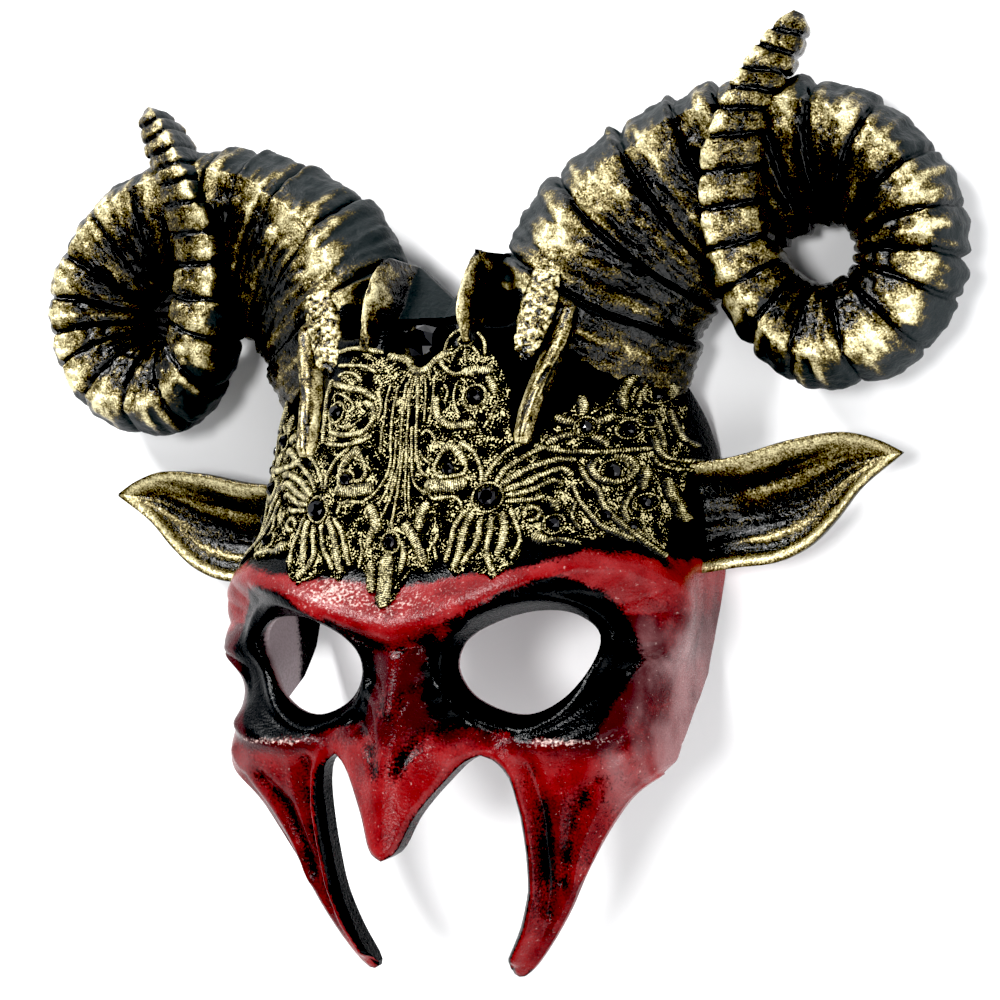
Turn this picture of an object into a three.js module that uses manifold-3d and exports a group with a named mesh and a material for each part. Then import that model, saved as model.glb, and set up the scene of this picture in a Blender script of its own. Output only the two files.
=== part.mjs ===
// A horned half-face devil mask, cast in one piece, lying on its back.
// Sizes are in millimetres. +X runs to the viewer's right across the face, +Y from the chin tips to
// the horns, +Z out of the face, and the plane it lies on is z = 0. The two halves are mirror images.
import * as THREE from 'three';
import { mergeVertices } from 'three/addons/utils/BufferGeometryUtils.js';
import Module from 'manifold-3d';

const wasm = await Module();
wasm.setup();

// Driving sizes of the face shell
const WALL = 3.2; // thickness of the cast wall
const INNER_RELIEF = 0.6; // share of the raised forms that the inside follows
const INNER_NOSE = 0.94; // share of the nose that it follows
const CHIN_Y = -139; // just below the cheek points
const CROWN_Y = 61; // top of the shell, between the horns
const HOLLOW_Y = 49.5; // top of the hollow behind the forehead
const MIDDLE_Y = 1.22; // shift that puts the middle of the whole mask on the origin
const FAR = 140; // farther out than any part of the face
const ROW_BANDS = [[CHIN_Y, 10], [-76, 15], [-16, 9], [CROWN_Y, 0]]; // grid: height, rows up to the next
const COLUMNS = 40; // grid of the skin, from temple to temple
const INNER_ROWS = 21;
const INNER_COLUMNS = 20;

// Profiles up the face: pairs of height on the face and value
const HALF_WIDTH = [
  [-139, 72], [-76, 73.5], [-60, 71], [-45, 70], [-20, 72], [5, 72], [22, 70], [40, 66], [75, 62],
];
const DEPTH = [
  [-139, 61], [-105, 66], [-80, 71], [-60, 75], [-38, 78], [-18, 77], [2, 74], [22, 69], [42, 61], [75, 53],
];
const SQUARENESS = [
  [-139, 4], [-90, 4.5], [-74, 6.5], [-58, 4.5], [-45, 4], [-25, 3.2], [0, 2.3], [20, 2.1], [75, 2.1],
];
const NOSE_RIDGE = [[-110, 101], [-97, 98], [-85, 95.5], [-72, 93], [-50, 89], [-38, 86], [-30, 80]];
const NOSE_SLOPE = [[-110, 0.3], [-92, 0.35], [-80, 0.5], [-70, 0.7], [-56, 1.1], [-40, 1.5]];
const NOSE_REACH = [[-110, 13], [-97, 14], [-85, 17], [-78, 24], [-71, 38], [-55, 60], [-40, 60]];

// Raised and sunk lines of the right half, as paths on the front view
const BROW = [
  [0, -35], [10, -33], [20, -29], [33, -23.5], [46, -19], [57, -20], [64, -26], [66.5, -34], [63, -41],
];
const HORN_RIB = [[46.5, 54], [43, 43], [39.5, 32], [36.8, 22], [34.5, 13]];
const RIB_HALF_WIDTH = 2.6;
const RIB_HEIGHT = 3.6;
const CHEEK_ROLL = [[16, -69], [30, -70], [45, -68], [58, -62]];
const EDGE_ROLL = [[26, -71], [31.5, -80], [33.5, -95], [33, -110], [29.5, -122], [25, -131]];
const CHEEK_FOLDS = [[[38.5, -80], [40, -94], [37, -110]], [[50, -80], [47, -96]]];

// Front-view outlines of the right half
const EYE = [
  [55.2, -39], [50, -33], [40, -31.3], [28, -33.8], [18, -39.5], [15.2, -46.5], [19.5, -55], [34, -60.3],
  [47, -54],
];
const NOSE_EDGE = [[0, -97.6], [3.8, -95.5], [8.4, -86], [14.4, -77.7], [20.5, -72.3]];
const FANG_INNER = [[25.6, -76.8], [28, -88], [28.2, -105], [26, -119], [20.4, -134]];
const FANG_OUTER = [
  [24, -136.6], [32.3, -129], [40.1, -117.5], [46.7, -105], [55, -91.8], [62.5, -83], [80, -72],
];

// Side-view line of the rear edge: pairs of height on the face and distance from the plane
const REAR_EDGE = [
  [-144, 48], [-84, 50], [-78, 56], [-71, 49], [-65, 38], [-60, 28], [-54, 18], [-45, 10], [-36, 5],
  [-26, 1.5], [-18, 0], [6, 0], [20, 6], [32, 14], [45, 20],
];

// Horn: its coil turns round an eye in the front view
const COIL = new THREE.Vector2(112, 66);
const COIL_HOLE = 7.5; // radius of the eye
const COIL_RIDGE = [[-125, 26.5], [-90, 30], [-45, 33.5], [0, 33.5], [45, 35], [77, 39], [100, 43]];
const COIL_ANGLES = [95, 70, 40, 10, -20, -50, -80, -108];
const PLATE_FIRST = 22; // length of the root plate along the ridge
const PLATE_LAST = 7; // length of the plate at the tip
const PLATE_DECAY = 3; // how soon the plates shorten
const PLATE_STEP = 0.05; // how far a plate stands over the groove, as a share of the section
const PLATE_LIP = 0.18; // share of a plate's length that its lip takes

// Stations of the horn: the ridge and the inner side as x, y, z, then the height of the back and the
// distance that the outer side bulges past the ridge
const ROOT_STATIONS = [
  { ridge: [29, 38, 49], inner: [66, 26, 22], back: 0, bulge: 17 },
  { ridge: [32.7, 66, 48.4], inner: [72, 44, 24], back: 0, bulge: 18 },
  { ridge: [43.5, 84.3, 43], inner: [76.5, 53, 22], back: 0, bulge: 16 },
  { ridge: [59.2, 98.5, 38.8], inner: [84, 59, 19], back: 0, bulge: 12 },
  { ridge: [78, 108.5, 35], inner: [95, 69, 16], back: 0, bulge: 9 },
];
const STRAND_STATIONS = [
  { ridge: [88.5, 59.5, 39.5], inner: [101.5, 64.5, 35], back: 10, bulge: 7 },
  { ridge: [82.6, 75, 38.5], inner: [98, 76, 36], back: 16, bulge: 2.5 },
  { ridge: [82.4, 88, 39.5], inner: [97.8, 88, 36.5], back: 19, bulge: 1.5 },
  { ridge: [86, 99.5, 41], inner: [99.8, 99, 37.5], back: 21, bulge: 1.5 },
  { ridge: [91.5, 112, 39.5], inner: [103.4, 110, 36.5], back: 22, bulge: 1.5 },
  { ridge: [99, 124, 35.5], inner: [108.8, 120, 33.5], back: 21, bulge: 1 },
  { ridge: [105.5, 131.5, 32], inner: [112, 128.5, 31], back: 22, bulge: 0.5 },
  { ridge: [109, 134.2, 29.5], inner: [111.4, 132.8, 29], back: 25, bulge: 0 },
];

// Ear: a leaf with a rolled rim round a hollow
const EAR_TOP = [[66, 8], [82, 9.3], [100, 13.3], [115, 14.7], [125, 12], [132.3, 8.1]];
const EAR_BOTTOM = [
  [66, -25], [82, -23], [94, -21.8], [104, -17.5], [112, -10.5], [120, -1.5], [132.3, 7.6],
];
const EAR_RIM_Z = 22;
const EAR_WALL = 4;
const EAR_HOLLOW = 7.5;

// Crest: two fins, with a valley between them and one beside each horn
const FIN = [[12.6, 44], [12.9, 58], [13.4, 69.5], [15.4, 71.9], [17.5, 69], [17.4, 58], [20.5, 45]];
const FIN_FRONT = [[44, 60.5], [50, 62.5], [58, 61.7], [66, 57.3], [72, 51.5]];
const FIN_FOOT = 16;
const VALLEY_START = 53; // height on the face where the valleys begin
const VALLEY_FLOOR = 35; // distance of the middle valley from the plane
const VALLEY_SLOPE = 1.25; // rise of its sides
const VALLEY_TOP = [[-1, 61.3], [13.5, 71]]; // its upper edge
const SIDE_VALLEY = [[17, 54], [25, 54], [30, 66], [27, 95], [17, 95]];
const SIDE_VALLEY_FLOOR = 38;

// Trim
const LACE_GAP = 0.3;
const LACE_THICK = 0.9;
const LACE_EDGE = [
  [0, -29.5], [4, -28], [5.5, -21], [12, -24.5], [20, -25], [28, -23], [34, -21.5], [38, -14], [46, -12],
  [54, -13.5], [61, -14.5], [65, -9], [67, -5], [68, 4], [67.5, 14], [67, 24], [65.5, 34], [58, 33],
  [52, 26], [47, 20], [41, 13], [38, 5], [31.5, 5], [29.5, 16], [28.5, 26], [26, 34], [22, 38], [12, 39],
  [6, 39.5], [0, 38.5],
];
const HORN_CLEARANCE = 0.03; // growth of the horn's section that clears the lace
const STONE_SIDES = 6;
const STONE_LIFT = LACE_GAP + LACE_THICK + 0.45;
const STONE_FLATNESS = 0.7; // height of a stone as a share of its radius
const CREST_GEM = [0.6, 46.4, 6.3];
const GEM_RECESS = 4.5; // depth of the hollow that the gem sits in
const STONES = [ // place on the front view and radius
  [-2.4, -10.7, 2.2],
  [26.2, 0.7, 3.3], [20, 29.4, 2.5], [15, 9.1, 2], [43.5, -7.9, 2], [48.6, 19.3, 2.1], [55.3, 6.4, 2.5],
  [57.8, 18.3, 2], [61.5, 21.1, 1.7], [62.2, 28.1, 1.8], [55, -6.2, 1.7], [60.7, -9.7, 1.7],
  [62.7, -2.9, 1.8],
  [-26.8, -0.4, 3], [-24.7, 27.6, 2.3], [-17.1, 7.6, 2], [-47.7, -9.5, 1.8], [-50.1, 20.8, 1.9],
  [-55.3, 6.4, 2.3], [-60.7, -9.7, 1.7], [-62, -2.9, 1.8], [-64.5, 12.5, 1.8], [-65, 18.5, 1.8],
  [-64.8, 24.5, 1.8],
];

const SKIN = new THREE.MeshStandardMaterial({ color: 0x9a1416, roughness: 0.35, metalness: 0 });
const GOLD = new THREE.MeshStandardMaterial({ color: 0xb59a5a, roughness: 0.55, metalness: 0.4 });
const STONE = new THREE.MeshStandardMaterial({ color: 0x050507, roughness: 0.08, metalness: 0 });

// Value of a profile of [place, value] pairs, on a smooth curve through them
function profile(keys, place) {
  let i = 0;
  while (i < keys.length - 2 && place > keys[i + 1][0]) i += 1;
  const slope = (j) => {
    const a = keys[Math.max(j - 1, 0)];
    const b = keys[Math.min(j + 1, keys.length - 1)];
    return (b[1] - a[1]) / (b[0] - a[0]);
  };
  const span = keys[i + 1][0] - keys[i][0];
  const t = THREE.MathUtils.clamp((place - keys[i][0]) / span, 0, 1);
  const rise = (1 + 2 * t) * (1 - t) * (1 - t) * keys[i][1] + t * t * (3 - 2 * t) * keys[i + 1][1];
  return rise + span * (t * (1 - t) * (1 - t) * slope(i) - t * t * (1 - t) * slope(i + 1));
}

// Closest place on a path: the distance, how far along it from 0 to 1, and the side it is on
function nearest(path, x, y) {
  let best = { distance: Infinity, along: 0, side: 1 };
  for (let i = 0; i + 1 < path.length; i += 1) {
    const dx = path[i + 1][0] - path[i][0];
    const dy = path[i + 1][1] - path[i][1];
    const px = x - path[i][0];
    const py = y - path[i][1];
    const t = THREE.MathUtils.clamp((px * dx + py * dy) / (dx * dx + dy * dy), 0, 1);
    const distance = Math.hypot(px - t * dx, py - t * dy);
    if (distance < best.distance) {
      best = { distance, along: (i + t) / (path.length - 1), side: Math.sign(dx * py - dy * px) };
    }
  }
  return best;
}

const bell = (distance, width) => Math.exp(-((distance / width) ** 2));
const softPositive = (v, softness) => (v + Math.sqrt(v * v + softness * softness)) / 2;

// How far the skin stands off the plain shell at a place of the front view
function relief(x, y, wall) {
  const side = Math.abs(x);
  let rise = 0;
  const brow = nearest(BROW, side, y);
  const browHeight = 7 + 3 * bell(brow.along - 0.85, 0.15);
  rise += browHeight * bell(brow.distance, brow.side > 0 ? 8 : 5.5);
  const socket = Math.hypot((side - 38) / 25, (y + 47) / 19);
  const socketDepth = 4 + 5 * THREE.MathUtils.smoothstep(y, -60, -34);
  rise -= socketDepth * (1 - THREE.MathUtils.smoothstep(socket, 0.55, 1.15)) * (1 - bell(brow.distance, 5));
  rise += 2.5 * bell(nearest(CHEEK_ROLL, side, y).distance, 5);
  rise += 2.2 * bell(nearest(EDGE_ROLL, side, y).distance, 3.5);
  for (const fold of CHEEK_FOLDS) rise -= 1.8 * bell(nearest(fold, side, y).distance, 3.6);
  rise += 2 * bell(Math.hypot(side - 24, y - 4), 17) - 1.5 * bell(side, 6) * bell(y - 14, 20);
  rise -= 2.5 * bell(Math.hypot(side - 70, y + 12), 12);
  rise -= GEM_RECESS * bell(Math.hypot(x, y - 47.5) ** 2, 95);
  const beside = softPositive(side + 0.6 * wall, 3);
  const flank = profile(NOSE_SLOPE, y) * beside + 20 * (beside / profile(NOSE_REACH, y)) ** 4;
  const nose = profile(NOSE_RIDGE, y) - flank;
  const noseRise = softPositive(nose - profile(DEPTH, y) - 0.3 * wall, 4) * THREE.MathUtils.smoothstep(-y, 28, 38);
  return wall > 0 ? Math.min(rise, INNER_RELIEF * rise) + INNER_NOSE * noseRise : rise + noseRise;
}

// A place on the skin: angle runs from -90 at one temple over the front to 90 at the other
function facePoint(angle, y, wall) {
  const a = profile(HALF_WIDTH, y) - wall;
  const c = profile(DEPTH, y) - wall;
  const n = profile(SQUARENESS, y);
  const sin = Math.sin(angle);
  const cos = Math.cos(angle);
  const radius = (Math.abs(cos / c) ** n + Math.abs(sin / a) ** n) ** (-1 / n);
  const x = radius * sin;
  const z = radius * cos;
  const steepness = (v, half) => Math.abs(v / half) ** (n - 1) / half;
  const normal = new THREE.Vector2(Math.sign(x) * steepness(x, a), steepness(z, c)).normalize();
  const rise = relief(x, y, wall) * THREE.MathUtils.smoothstep(z, 0.25 * c, 0.7 * c);
  return new THREE.Vector3(x + rise * normal.x, y, z + rise * normal.y);
}

// The skin over a place of the front view, with its outward direction
function onSkin(x, y) {
  const n = profile(SQUARENESS, y);
  const half = profile(HALF_WIDTH, y);
  const share = Math.min(Math.abs(x) / half, 0.99);
  const angle = Math.sign(x) * Math.atan2(share * half, profile(DEPTH, y) * (1 - share ** n) ** (1 / n));
  const step = 0.5;
  const turn = step / profile(DEPTH, y);
  const across = facePoint(angle + turn, y, 0).sub(facePoint(angle - turn, y, 0));
  const up = facePoint(angle, y + step, 0).sub(facePoint(angle, y - step, 0));
  return { place: facePoint(angle, y, 0), normal: across.cross(up).normalize() };
}

// Closed solid of rows of points: the rows run round closed rings, or along a sheet and its underside
function ringSolid(rings) {
  const count = rings[0].length;
  const positions = rings.flat().flatMap((p) => [p.x, p.y, p.z]);
  const index = [];
  for (let i = 0; i + 1 < rings.length; i += 1) {
    for (let j = 0; j < count; j += 1) {
      const a = i * count + j;
      const b = i * count + ((j + 1) % count);
      index.push(a, b + count, b, a, a + count, b + count);
    }
  }
  const capStart = rings[0].map((p, j) => j);
  const capEnd = rings[0].map((p, j) => (rings.length - 1) * count + j);
  for (const [corners, first] of [[capStart, true], [capEnd, false]]) {
    const centre = positions.length / 3;
    const middle = new THREE.Vector3();
    for (const k of corners) middle.add(new THREE.Vector3().fromArray(positions, 3 * k));
    positions.push(...middle.divideScalar(count).toArray());
    corners.forEach((k, j) => {
      const next = corners[(j + 1) % count];
      index.push(...(first ? [centre, k, next] : [centre, next, k]));
    });
  }
  const geometry = new THREE.BufferGeometry();
  geometry.setAttribute('position', new THREE.Float32BufferAttribute(positions, 3));
  geometry.setIndex(index);
  return solidOf(geometry);
}

function solidOf(geometry) {
  const bare = geometry.clone();
  bare.deleteAttribute('normal');
  bare.deleteAttribute('uv');
  const merged = mergeVertices(bare, 1e-4);
  const mesh = new wasm.Mesh({
    numProp: 3,
    vertProperties: new Float32Array(merged.attributes.position.array),
    triVerts: new Uint32Array(merged.index.array),
  });
  return new wasm.Manifold(mesh);
}

function geometryOf(solid) {
  const mesh = solid.getMesh();
  const geometry = new THREE.BufferGeometry();
  geometry.setAttribute('position', new THREE.BufferAttribute(new Float32Array(mesh.vertProperties), 3));
  geometry.setIndex(new THREE.BufferAttribute(new Uint32Array(mesh.triVerts), 1));
  geometry.computeVertexNormals();
  return geometry;
}

// Heights of the grid's rows
function rowHeights() {
  const heights = [CHIN_Y];
  for (let band = 0; band + 1 < ROW_BANDS.length; band += 1) {
    const [start, rows] = ROW_BANDS[band];
    const end = ROW_BANDS[band + 1][0];
    for (let i = 1; i <= rows; i += 1) heights.push(THREE.MathUtils.lerp(start, end, i / rows));
  }
  return heights;
}

// The full block behind the skin, or with a wall the block of air behind it
function faceBlock(wall, heights, columns) {
  const rings = heights.map((y) => {
    const ring = [];
    for (let j = 0; j <= columns; j += 1) {
      const turn = 1 - (2 * j) / columns;
      ring.push(facePoint((Math.PI / 2) * (0.8 * turn + 0.2 * turn ** 3), y, wall));
    }
    if (wall > 0) {
      ring.push(new THREE.Vector3(ring[columns].x, y, -wall), new THREE.Vector3(ring[0].x, y, -wall));
    }
    return ring;
  });
  return ringSolid(rings);
}

// Prism of a closed front-view outline between two heights, each a function of the place
function frontPrism(points, lowOf, highOf) {
  const shape = new THREE.Shape(points.map(([x, y]) => new THREE.Vector2(x, y)));
  const geometry = new THREE.ExtrudeGeometry(shape, { depth: 1, bevelEnabled: false, curveSegments: 1 });
  const position = geometry.attributes.position;
  for (let i = 0; i < position.count; i += 1) {
    const heightOf = position.getZ(i) > 0.5 ? highOf : lowOf;
    position.setZ(i, heightOf(position.getX(i), position.getY(i)));
  }
  return solidOf(geometry);
}

const curveThrough = (points, divisions, closed = false) =>
  new THREE.CatmullRomCurve3(points.map(([x, y]) => new THREE.Vector3(x, y, 0)), closed, 'centripetal')
    .getPoints(divisions)
    .map((p) => [p.x, p.y]);

const mirrored = (points) => points.map(([x, y]) => [-x, y]).reverse();

// Outline of the front view: cheek points, nose and the sides
function frontOutline() {
  const wide = 160;
  const top = CROWN_Y + 40;
  const nose = curveThrough(NOSE_EDGE, 6);
  const fang = [...curveThrough(FANG_INNER, 6), ...curveThrough(FANG_OUTER, 8)];
  const right = [...nose, ...fang, [82, -70], [wide, -60], [wide, top]];
  const left = mirrored(right).slice(0, -1);
  return frontPrism([...right, ...left], () => -10, () => FAR);
}

function sidePrism() {
  const top = CROWN_Y + 5;
  const line = [...REAR_EDGE, [top, 20], [top, FAR], [REAR_EDGE[0][0], FAR]];
  const shape = new THREE.Shape(line.map(([y, z]) => new THREE.Vector2(y, z)));
  const geometry = new THREE.ExtrudeGeometry(shape, { depth: 200, bevelEnabled: false });
  geometry.translate(0, 0, -100);
  const turn = new THREE.Matrix4().makeBasis(
    new THREE.Vector3(0, 1, 0),
    new THREE.Vector3(0, 0, 1),
    new THREE.Vector3(1, 0, 0),
  );
  geometry.applyMatrix4(turn);
  return solidOf(geometry);
}

// Stations all along the horn, from the root round the coil to the tip
function hornStations() {
  const coil = [];
  const [start] = COIL_ANGLES;
  const sweep = start - COIL_ANGLES[COIL_ANGLES.length - 1];
  for (const angle of COIL_ANGLES) {
    const turn = THREE.MathUtils.degToRad(angle);
    const ridge = profile(COIL_RIDGE, angle);
    const lateness = (start - angle) / sweep;
    const around = (radius) => [COIL.x + radius * Math.cos(turn), COIL.y + radius * Math.sin(turn)];
    coil.push({
      ridge: [...around(ridge), 36 + lateness],
      inner: [...around(COIL_HOLE), 17 + 8 * lateness],
      back: 6 * THREE.MathUtils.smoothstep(-angle, 80, 130),
      bulge: 8.5 - 5 * lateness * (1 - lateness),
    });
  }
  return [...ROOT_STATIONS, ...coil, ...STRAND_STATIONS];
}

// One section of the horn: hollowed front, sharp ridge, bulging outer side and flat back
function hornSection(ridge, inner, back, bulge, grow) {
  const across = new THREE.Vector3(ridge.x - inner.x, ridge.y - inner.y, 0);
  const width = across.length();
  across.normalize();
  const drop = ridge.z - inner.z;
  const innerTall = Math.min(ridge.z, inner.z) - back;
  const outerTall = ridge.z - back;
  const corner = (u, z) => new THREE.Vector3(inner.x + across.x * u, inner.y + across.y * u, z);
  const middle = corner(width / 2, back + innerTall / 2);
  const section = [
    corner(width, ridge.z),
    corner(0.6 * width, ridge.z - 0.1 * drop),
    corner(0.24 * width, ridge.z - 0.46 * drop),
    corner(0, inner.z - 0.08 * innerTall),
    corner(0.2 * width, back),
    corner(width - 0.35 * bulge, back),
    corner(width + 0.5 * bulge, back + 0.22 * outerTall),
    corner(width + bulge, back + 0.6 * outerTall),
    corner(width + 0.6 * bulge, back + 0.86 * outerTall),
  ];
  return section.map((p) => {
    const q = middle.clone().lerp(p, grow);
    if (p.z === back) q.z = back;
    return q;
  });
}

// The horn, with its sections grown by a share where it serves to cut a clearance
function horn(growth) {
  const stations = hornStations();
  const lineThrough = (name) => {
    const points = stations.map((station) => new THREE.Vector3(...station[name]));
    return new THREE.CatmullRomCurve3(points, false, 'centripetal');
  };
  const ridgeLine = lineThrough('ridge');
  const innerLine = lineThrough('inner');
  const shareKeys = (name) => stations.map((s, i) => [i / (stations.length - 1), s[name]]);
  const backs = shareKeys('back');
  const bulges = shareKeys('bulge');
  ridgeLine.arcLengthDivisions = 800;
  const length = ridgeLine.getLength();
  const rings = [];
  const addRing = (at, grow) => {
    const t = ridgeLine.getUtoTmapping(Math.min(at / length, 1));
    const ridge = ridgeLine.getPoint(t);
    const inner = innerLine.getPoint(t);
    const back = Math.max(profile(backs, t), 0);
    rings.push(hornSection(ridge, inner, back, profile(bulges, t), grow));
  };
  let at = 0;
  while (at < length - 1) {
    const plate = PLATE_LAST + (PLATE_FIRST - PLATE_LAST) * (1 - at / length) ** PLATE_DECAY;
    const end = at + plate > length - 3 ? length : at + plate;
    addRing(at, 1 - PLATE_STEP + growth);
    addRing(at + PLATE_LIP * (end - at), 1 + growth);
    at = end;
  }
  addRing(length, 1 - PLATE_STEP + growth);
  return ringSolid(rings.reverse());
}

// A leaf whose rings run along its front and back along its rear
function ear() {
  const steps = 8;
  const across = 6;
  const flat = ([x, y]) => new THREE.Vector3(x, y, 0);
  const top = new THREE.CatmullRomCurve3(EAR_TOP.map(flat));
  const bottom = new THREE.CatmullRomCurve3(EAR_BOTTOM.map(flat));
  const rings = [];
  for (let i = 0; i <= steps; i += 1) {
    const share = Math.min(i / steps, 0.985);
    const taper = Math.sqrt(1 - share);
    const rim = EAR_RIM_Z + 2 * share;
    const wall = EAR_WALL * (0.45 + 0.55 * taper);
    const depth = EAR_HOLLOW * taper * Math.min(1, 3 * (share + 0.12));
    const front = [];
    const rear = [];
    for (let j = 0; j <= across; j += 1) {
      const place = bottom.getPoint(share).lerp(top.getPoint(share), j / across);
      const arch = Math.sin((Math.PI * j) / across);
      const bowl = depth * arch ** 1.4;
      front.push(new THREE.Vector3(place.x, place.y, rim - bowl));
      rear.push(new THREE.Vector3(place.x, place.y, rim - wall - bowl - 1.5 * taper * arch));
    }
    rings.push([...front, ...rear.reverse()]);
  }
  return ringSolid(rings);
}

// A rounded bar along the skin from the horn's root down the forehead
function rib() {
  const rings = HORN_RIB.map(([x, y], i) => {
    const { place, normal } = onSkin(x, y);
    const size = i === HORN_RIB.length - 1 ? 0.5 : 1;
    const [above, below] = [HORN_RIB[Math.max(i - 1, 0)], HORN_RIB[Math.min(i + 1, HORN_RIB.length - 1)]];
    const side = new THREE.Vector3(above[1] - below[1], below[0] - above[0], 0).normalize();
    return [[-1, -1.2], [1, -1.2], [1, 0.2], [0.55, 0.85], [-0.25, 1], [-0.9, 0.4]].map(([across, up]) =>
      place.clone()
        .addScaledVector(side, across * size * RIB_HALF_WIDTH)
        .addScaledVector(normal, up * size * RIB_HEIGHT));
  });
  return ringSolid(rings.reverse());
}

const valleyFloor = (x) => VALLEY_FLOOR + VALLEY_SLOPE * Math.max(x, 0);

// The fin of one side and its half of the middle valley
function crest() {
  const fin = frontPrism(FIN, () => FIN_FOOT, (x, y) => profile(FIN_FRONT, y));
  const [low, high] = VALLEY_TOP;
  const outline = [[low[0], VALLEY_START - 4], [high[0], VALLEY_START - 4], high, low];
  return fin.add(frontPrism(outline, () => FIN_FOOT, valleyFloor));
}

// What the valleys of one side take out of the face
function valleys() {
  const side = FIN[1][0] + 0.5;
  const outline = [[-1, VALLEY_START], [side, VALLEY_START], [side, CROWN_Y + 5], [-1, CROWN_Y + 5]];
  const middle = frontPrism(outline, valleyFloor, () => FAR);
  return middle.add(frontPrism(SIDE_VALLEY, () => SIDE_VALLEY_FLOOR, () => FAR));
}

// The two-sided solid of a right-half solid
function bothSides(solid) {
  const geometry = geometryOf(solid);
  geometry.scale(-1, 1, 1);
  const index = geometry.index.array;
  for (let i = 0; i < index.length; i += 3) {
    [index[i + 1], index[i + 2]] = [index[i + 2], index[i + 1]];
  }
  return solid.add(solidOf(geometry));
}

function mask() {
  const block = faceBlock(0, rowHeights(), COLUMNS);
  const face = block.intersect(frontOutline()).intersect(sidePrism()).subtract(bothSides(valleys()));
  const innerHeight = (row, i) => THREE.MathUtils.lerp(CHIN_Y - 3, HOLLOW_Y, i / INNER_ROWS);
  const air = faceBlock(WALL, Array.from({ length: INNER_ROWS + 1 }, innerHeight), INNER_COLUMNS);
  const eye = frontPrism(curveThrough(EYE, 24, true), () => 20, () => FAR);
  const trim = bothSides(horn(0).add(ear()).add(crest()).add(rib()));
  return face.add(trim).subtract(air).subtract(bothSides(eye));
}

// A sheet over the forehead that follows the skin's own grid, cut clear of the horns and fins
function lace() {
  const sheetTop = faceBlock(-LACE_GAP - LACE_THICK, rowHeights(), COLUMNS);
  const sheetUnder = faceBlock(-LACE_GAP, rowHeights(), COLUMNS);
  const edge = [...LACE_EDGE, ...mirrored(LACE_EDGE).slice(1, -1)];
  const outline = frontPrism(edge, () => 5, () => FAR);
  return sheetTop.subtract(sheetUnder).intersect(outline).subtract(bothSides(horn(HORN_CLEARANCE)));
}

// A cut stone: a flat base, sloping facets and a flat table
function stoneGeometry(radius) {
  const height = STONE_FLATNESS * radius;
  const line = [[0, 0], [radius, 0], [0.55 * radius, height], [0, height]];
  return new THREE.LatheGeometry(line.map(([r, z]) => new THREE.Vector2(r, z)), STONE_SIDES);
}

const group = new THREE.Group();

function addPiece(name, geometry, material) {
  const mesh = new THREE.Mesh(geometry, material);
  mesh.name = name;
  mesh.position.y = MIDDLE_Y;
  group.add(mesh);
  return mesh;
}

function addStone(name, [x, y, radius]) {
  const mesh = addPiece(name, stoneGeometry(radius), STONE);
  const { place, normal } = onSkin(x, y);
  mesh.position.add(place).addScaledVector(normal, STONE_LIFT);
  mesh.quaternion.setFromUnitVectors(new THREE.Vector3(0, 1, 0), normal);
}

addPiece('mask', geometryOf(mask()), SKIN);
addPiece('lace', geometryOf(lace()), GOLD);
addStone('crest_gem', CREST_GEM);
STONES.forEach((stone, i) => addStone(`stone_${i + 1}`, stone));

export default group;
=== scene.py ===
"""Looks of a horned half-face devil mask that lies on its back.

Sizes are in millimetres until a mesh is made. +X runs to the viewer's right across the face, +Y from the
chin tips to the horns and +Z out of the face. The two halves are mirror images.
"""
import math
from types import SimpleNamespace

import bmesh
import bpy
import numpy as np
from mathutils import Matrix, Vector


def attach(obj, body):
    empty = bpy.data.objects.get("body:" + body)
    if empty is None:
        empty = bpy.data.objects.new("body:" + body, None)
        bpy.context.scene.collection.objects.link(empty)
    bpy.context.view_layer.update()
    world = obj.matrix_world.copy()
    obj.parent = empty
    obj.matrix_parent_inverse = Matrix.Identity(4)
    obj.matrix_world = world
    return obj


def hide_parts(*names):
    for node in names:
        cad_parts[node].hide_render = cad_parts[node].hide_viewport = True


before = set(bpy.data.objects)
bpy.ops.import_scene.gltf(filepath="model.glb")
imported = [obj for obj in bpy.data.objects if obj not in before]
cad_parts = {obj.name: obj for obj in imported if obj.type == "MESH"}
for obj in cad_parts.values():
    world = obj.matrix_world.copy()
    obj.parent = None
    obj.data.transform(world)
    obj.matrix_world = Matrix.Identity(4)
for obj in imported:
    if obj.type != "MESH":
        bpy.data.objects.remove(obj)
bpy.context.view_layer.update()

MM = 0.001
MIDDLE_Y = 1.22  # shift that puts the middle of the mask on the origin

# Face shell
WALL = 3.2
INNER_RELIEF, INNER_NOSE = 0.6, 0.94
CHIN_Y, CROWN_Y, HOLLOW_Y = -139, 61, 49.5
FAR = 140
SKIN_ROWS, SKIN_COLUMNS = 285, 330
INNER_ROWS, INNER_COLUMNS = 60, 80
HALF_WIDTH = [
    (-139, 72), (-76, 73.5), (-60, 71), (-45, 70), (-20, 72), (5, 72), (22, 70), (40, 66), (75, 62),
]
DEPTH = [
    (-139, 61), (-105, 66), (-80, 71), (-60, 75), (-38, 78), (-18, 77), (2, 74), (22, 69), (42, 61),
    (75, 53),
]
SQUARENESS = [
    (-139, 4), (-90, 4.5), (-74, 6.5), (-58, 4.5), (-45, 4), (-25, 3.2), (0, 2.3), (20, 2.1), (75, 2.1),
]
NOSE_RIDGE = [(-110, 101), (-97, 98), (-85, 95.5), (-72, 93), (-50, 89), (-38, 86), (-30, 80)]
NOSE_SLOPE = [(-110, 0.3), (-92, 0.35), (-80, 0.5), (-70, 0.7), (-56, 1.1), (-40, 1.5)]
NOSE_REACH = [(-110, 12), (-104, 15), (-97, 22), (-85, 27), (-78, 34), (-71, 42), (-55, 60), (-40, 60)]
BRIDGE_ROUND = [(-75, 2.6), (-60, 4), (-36, 9)]
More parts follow.
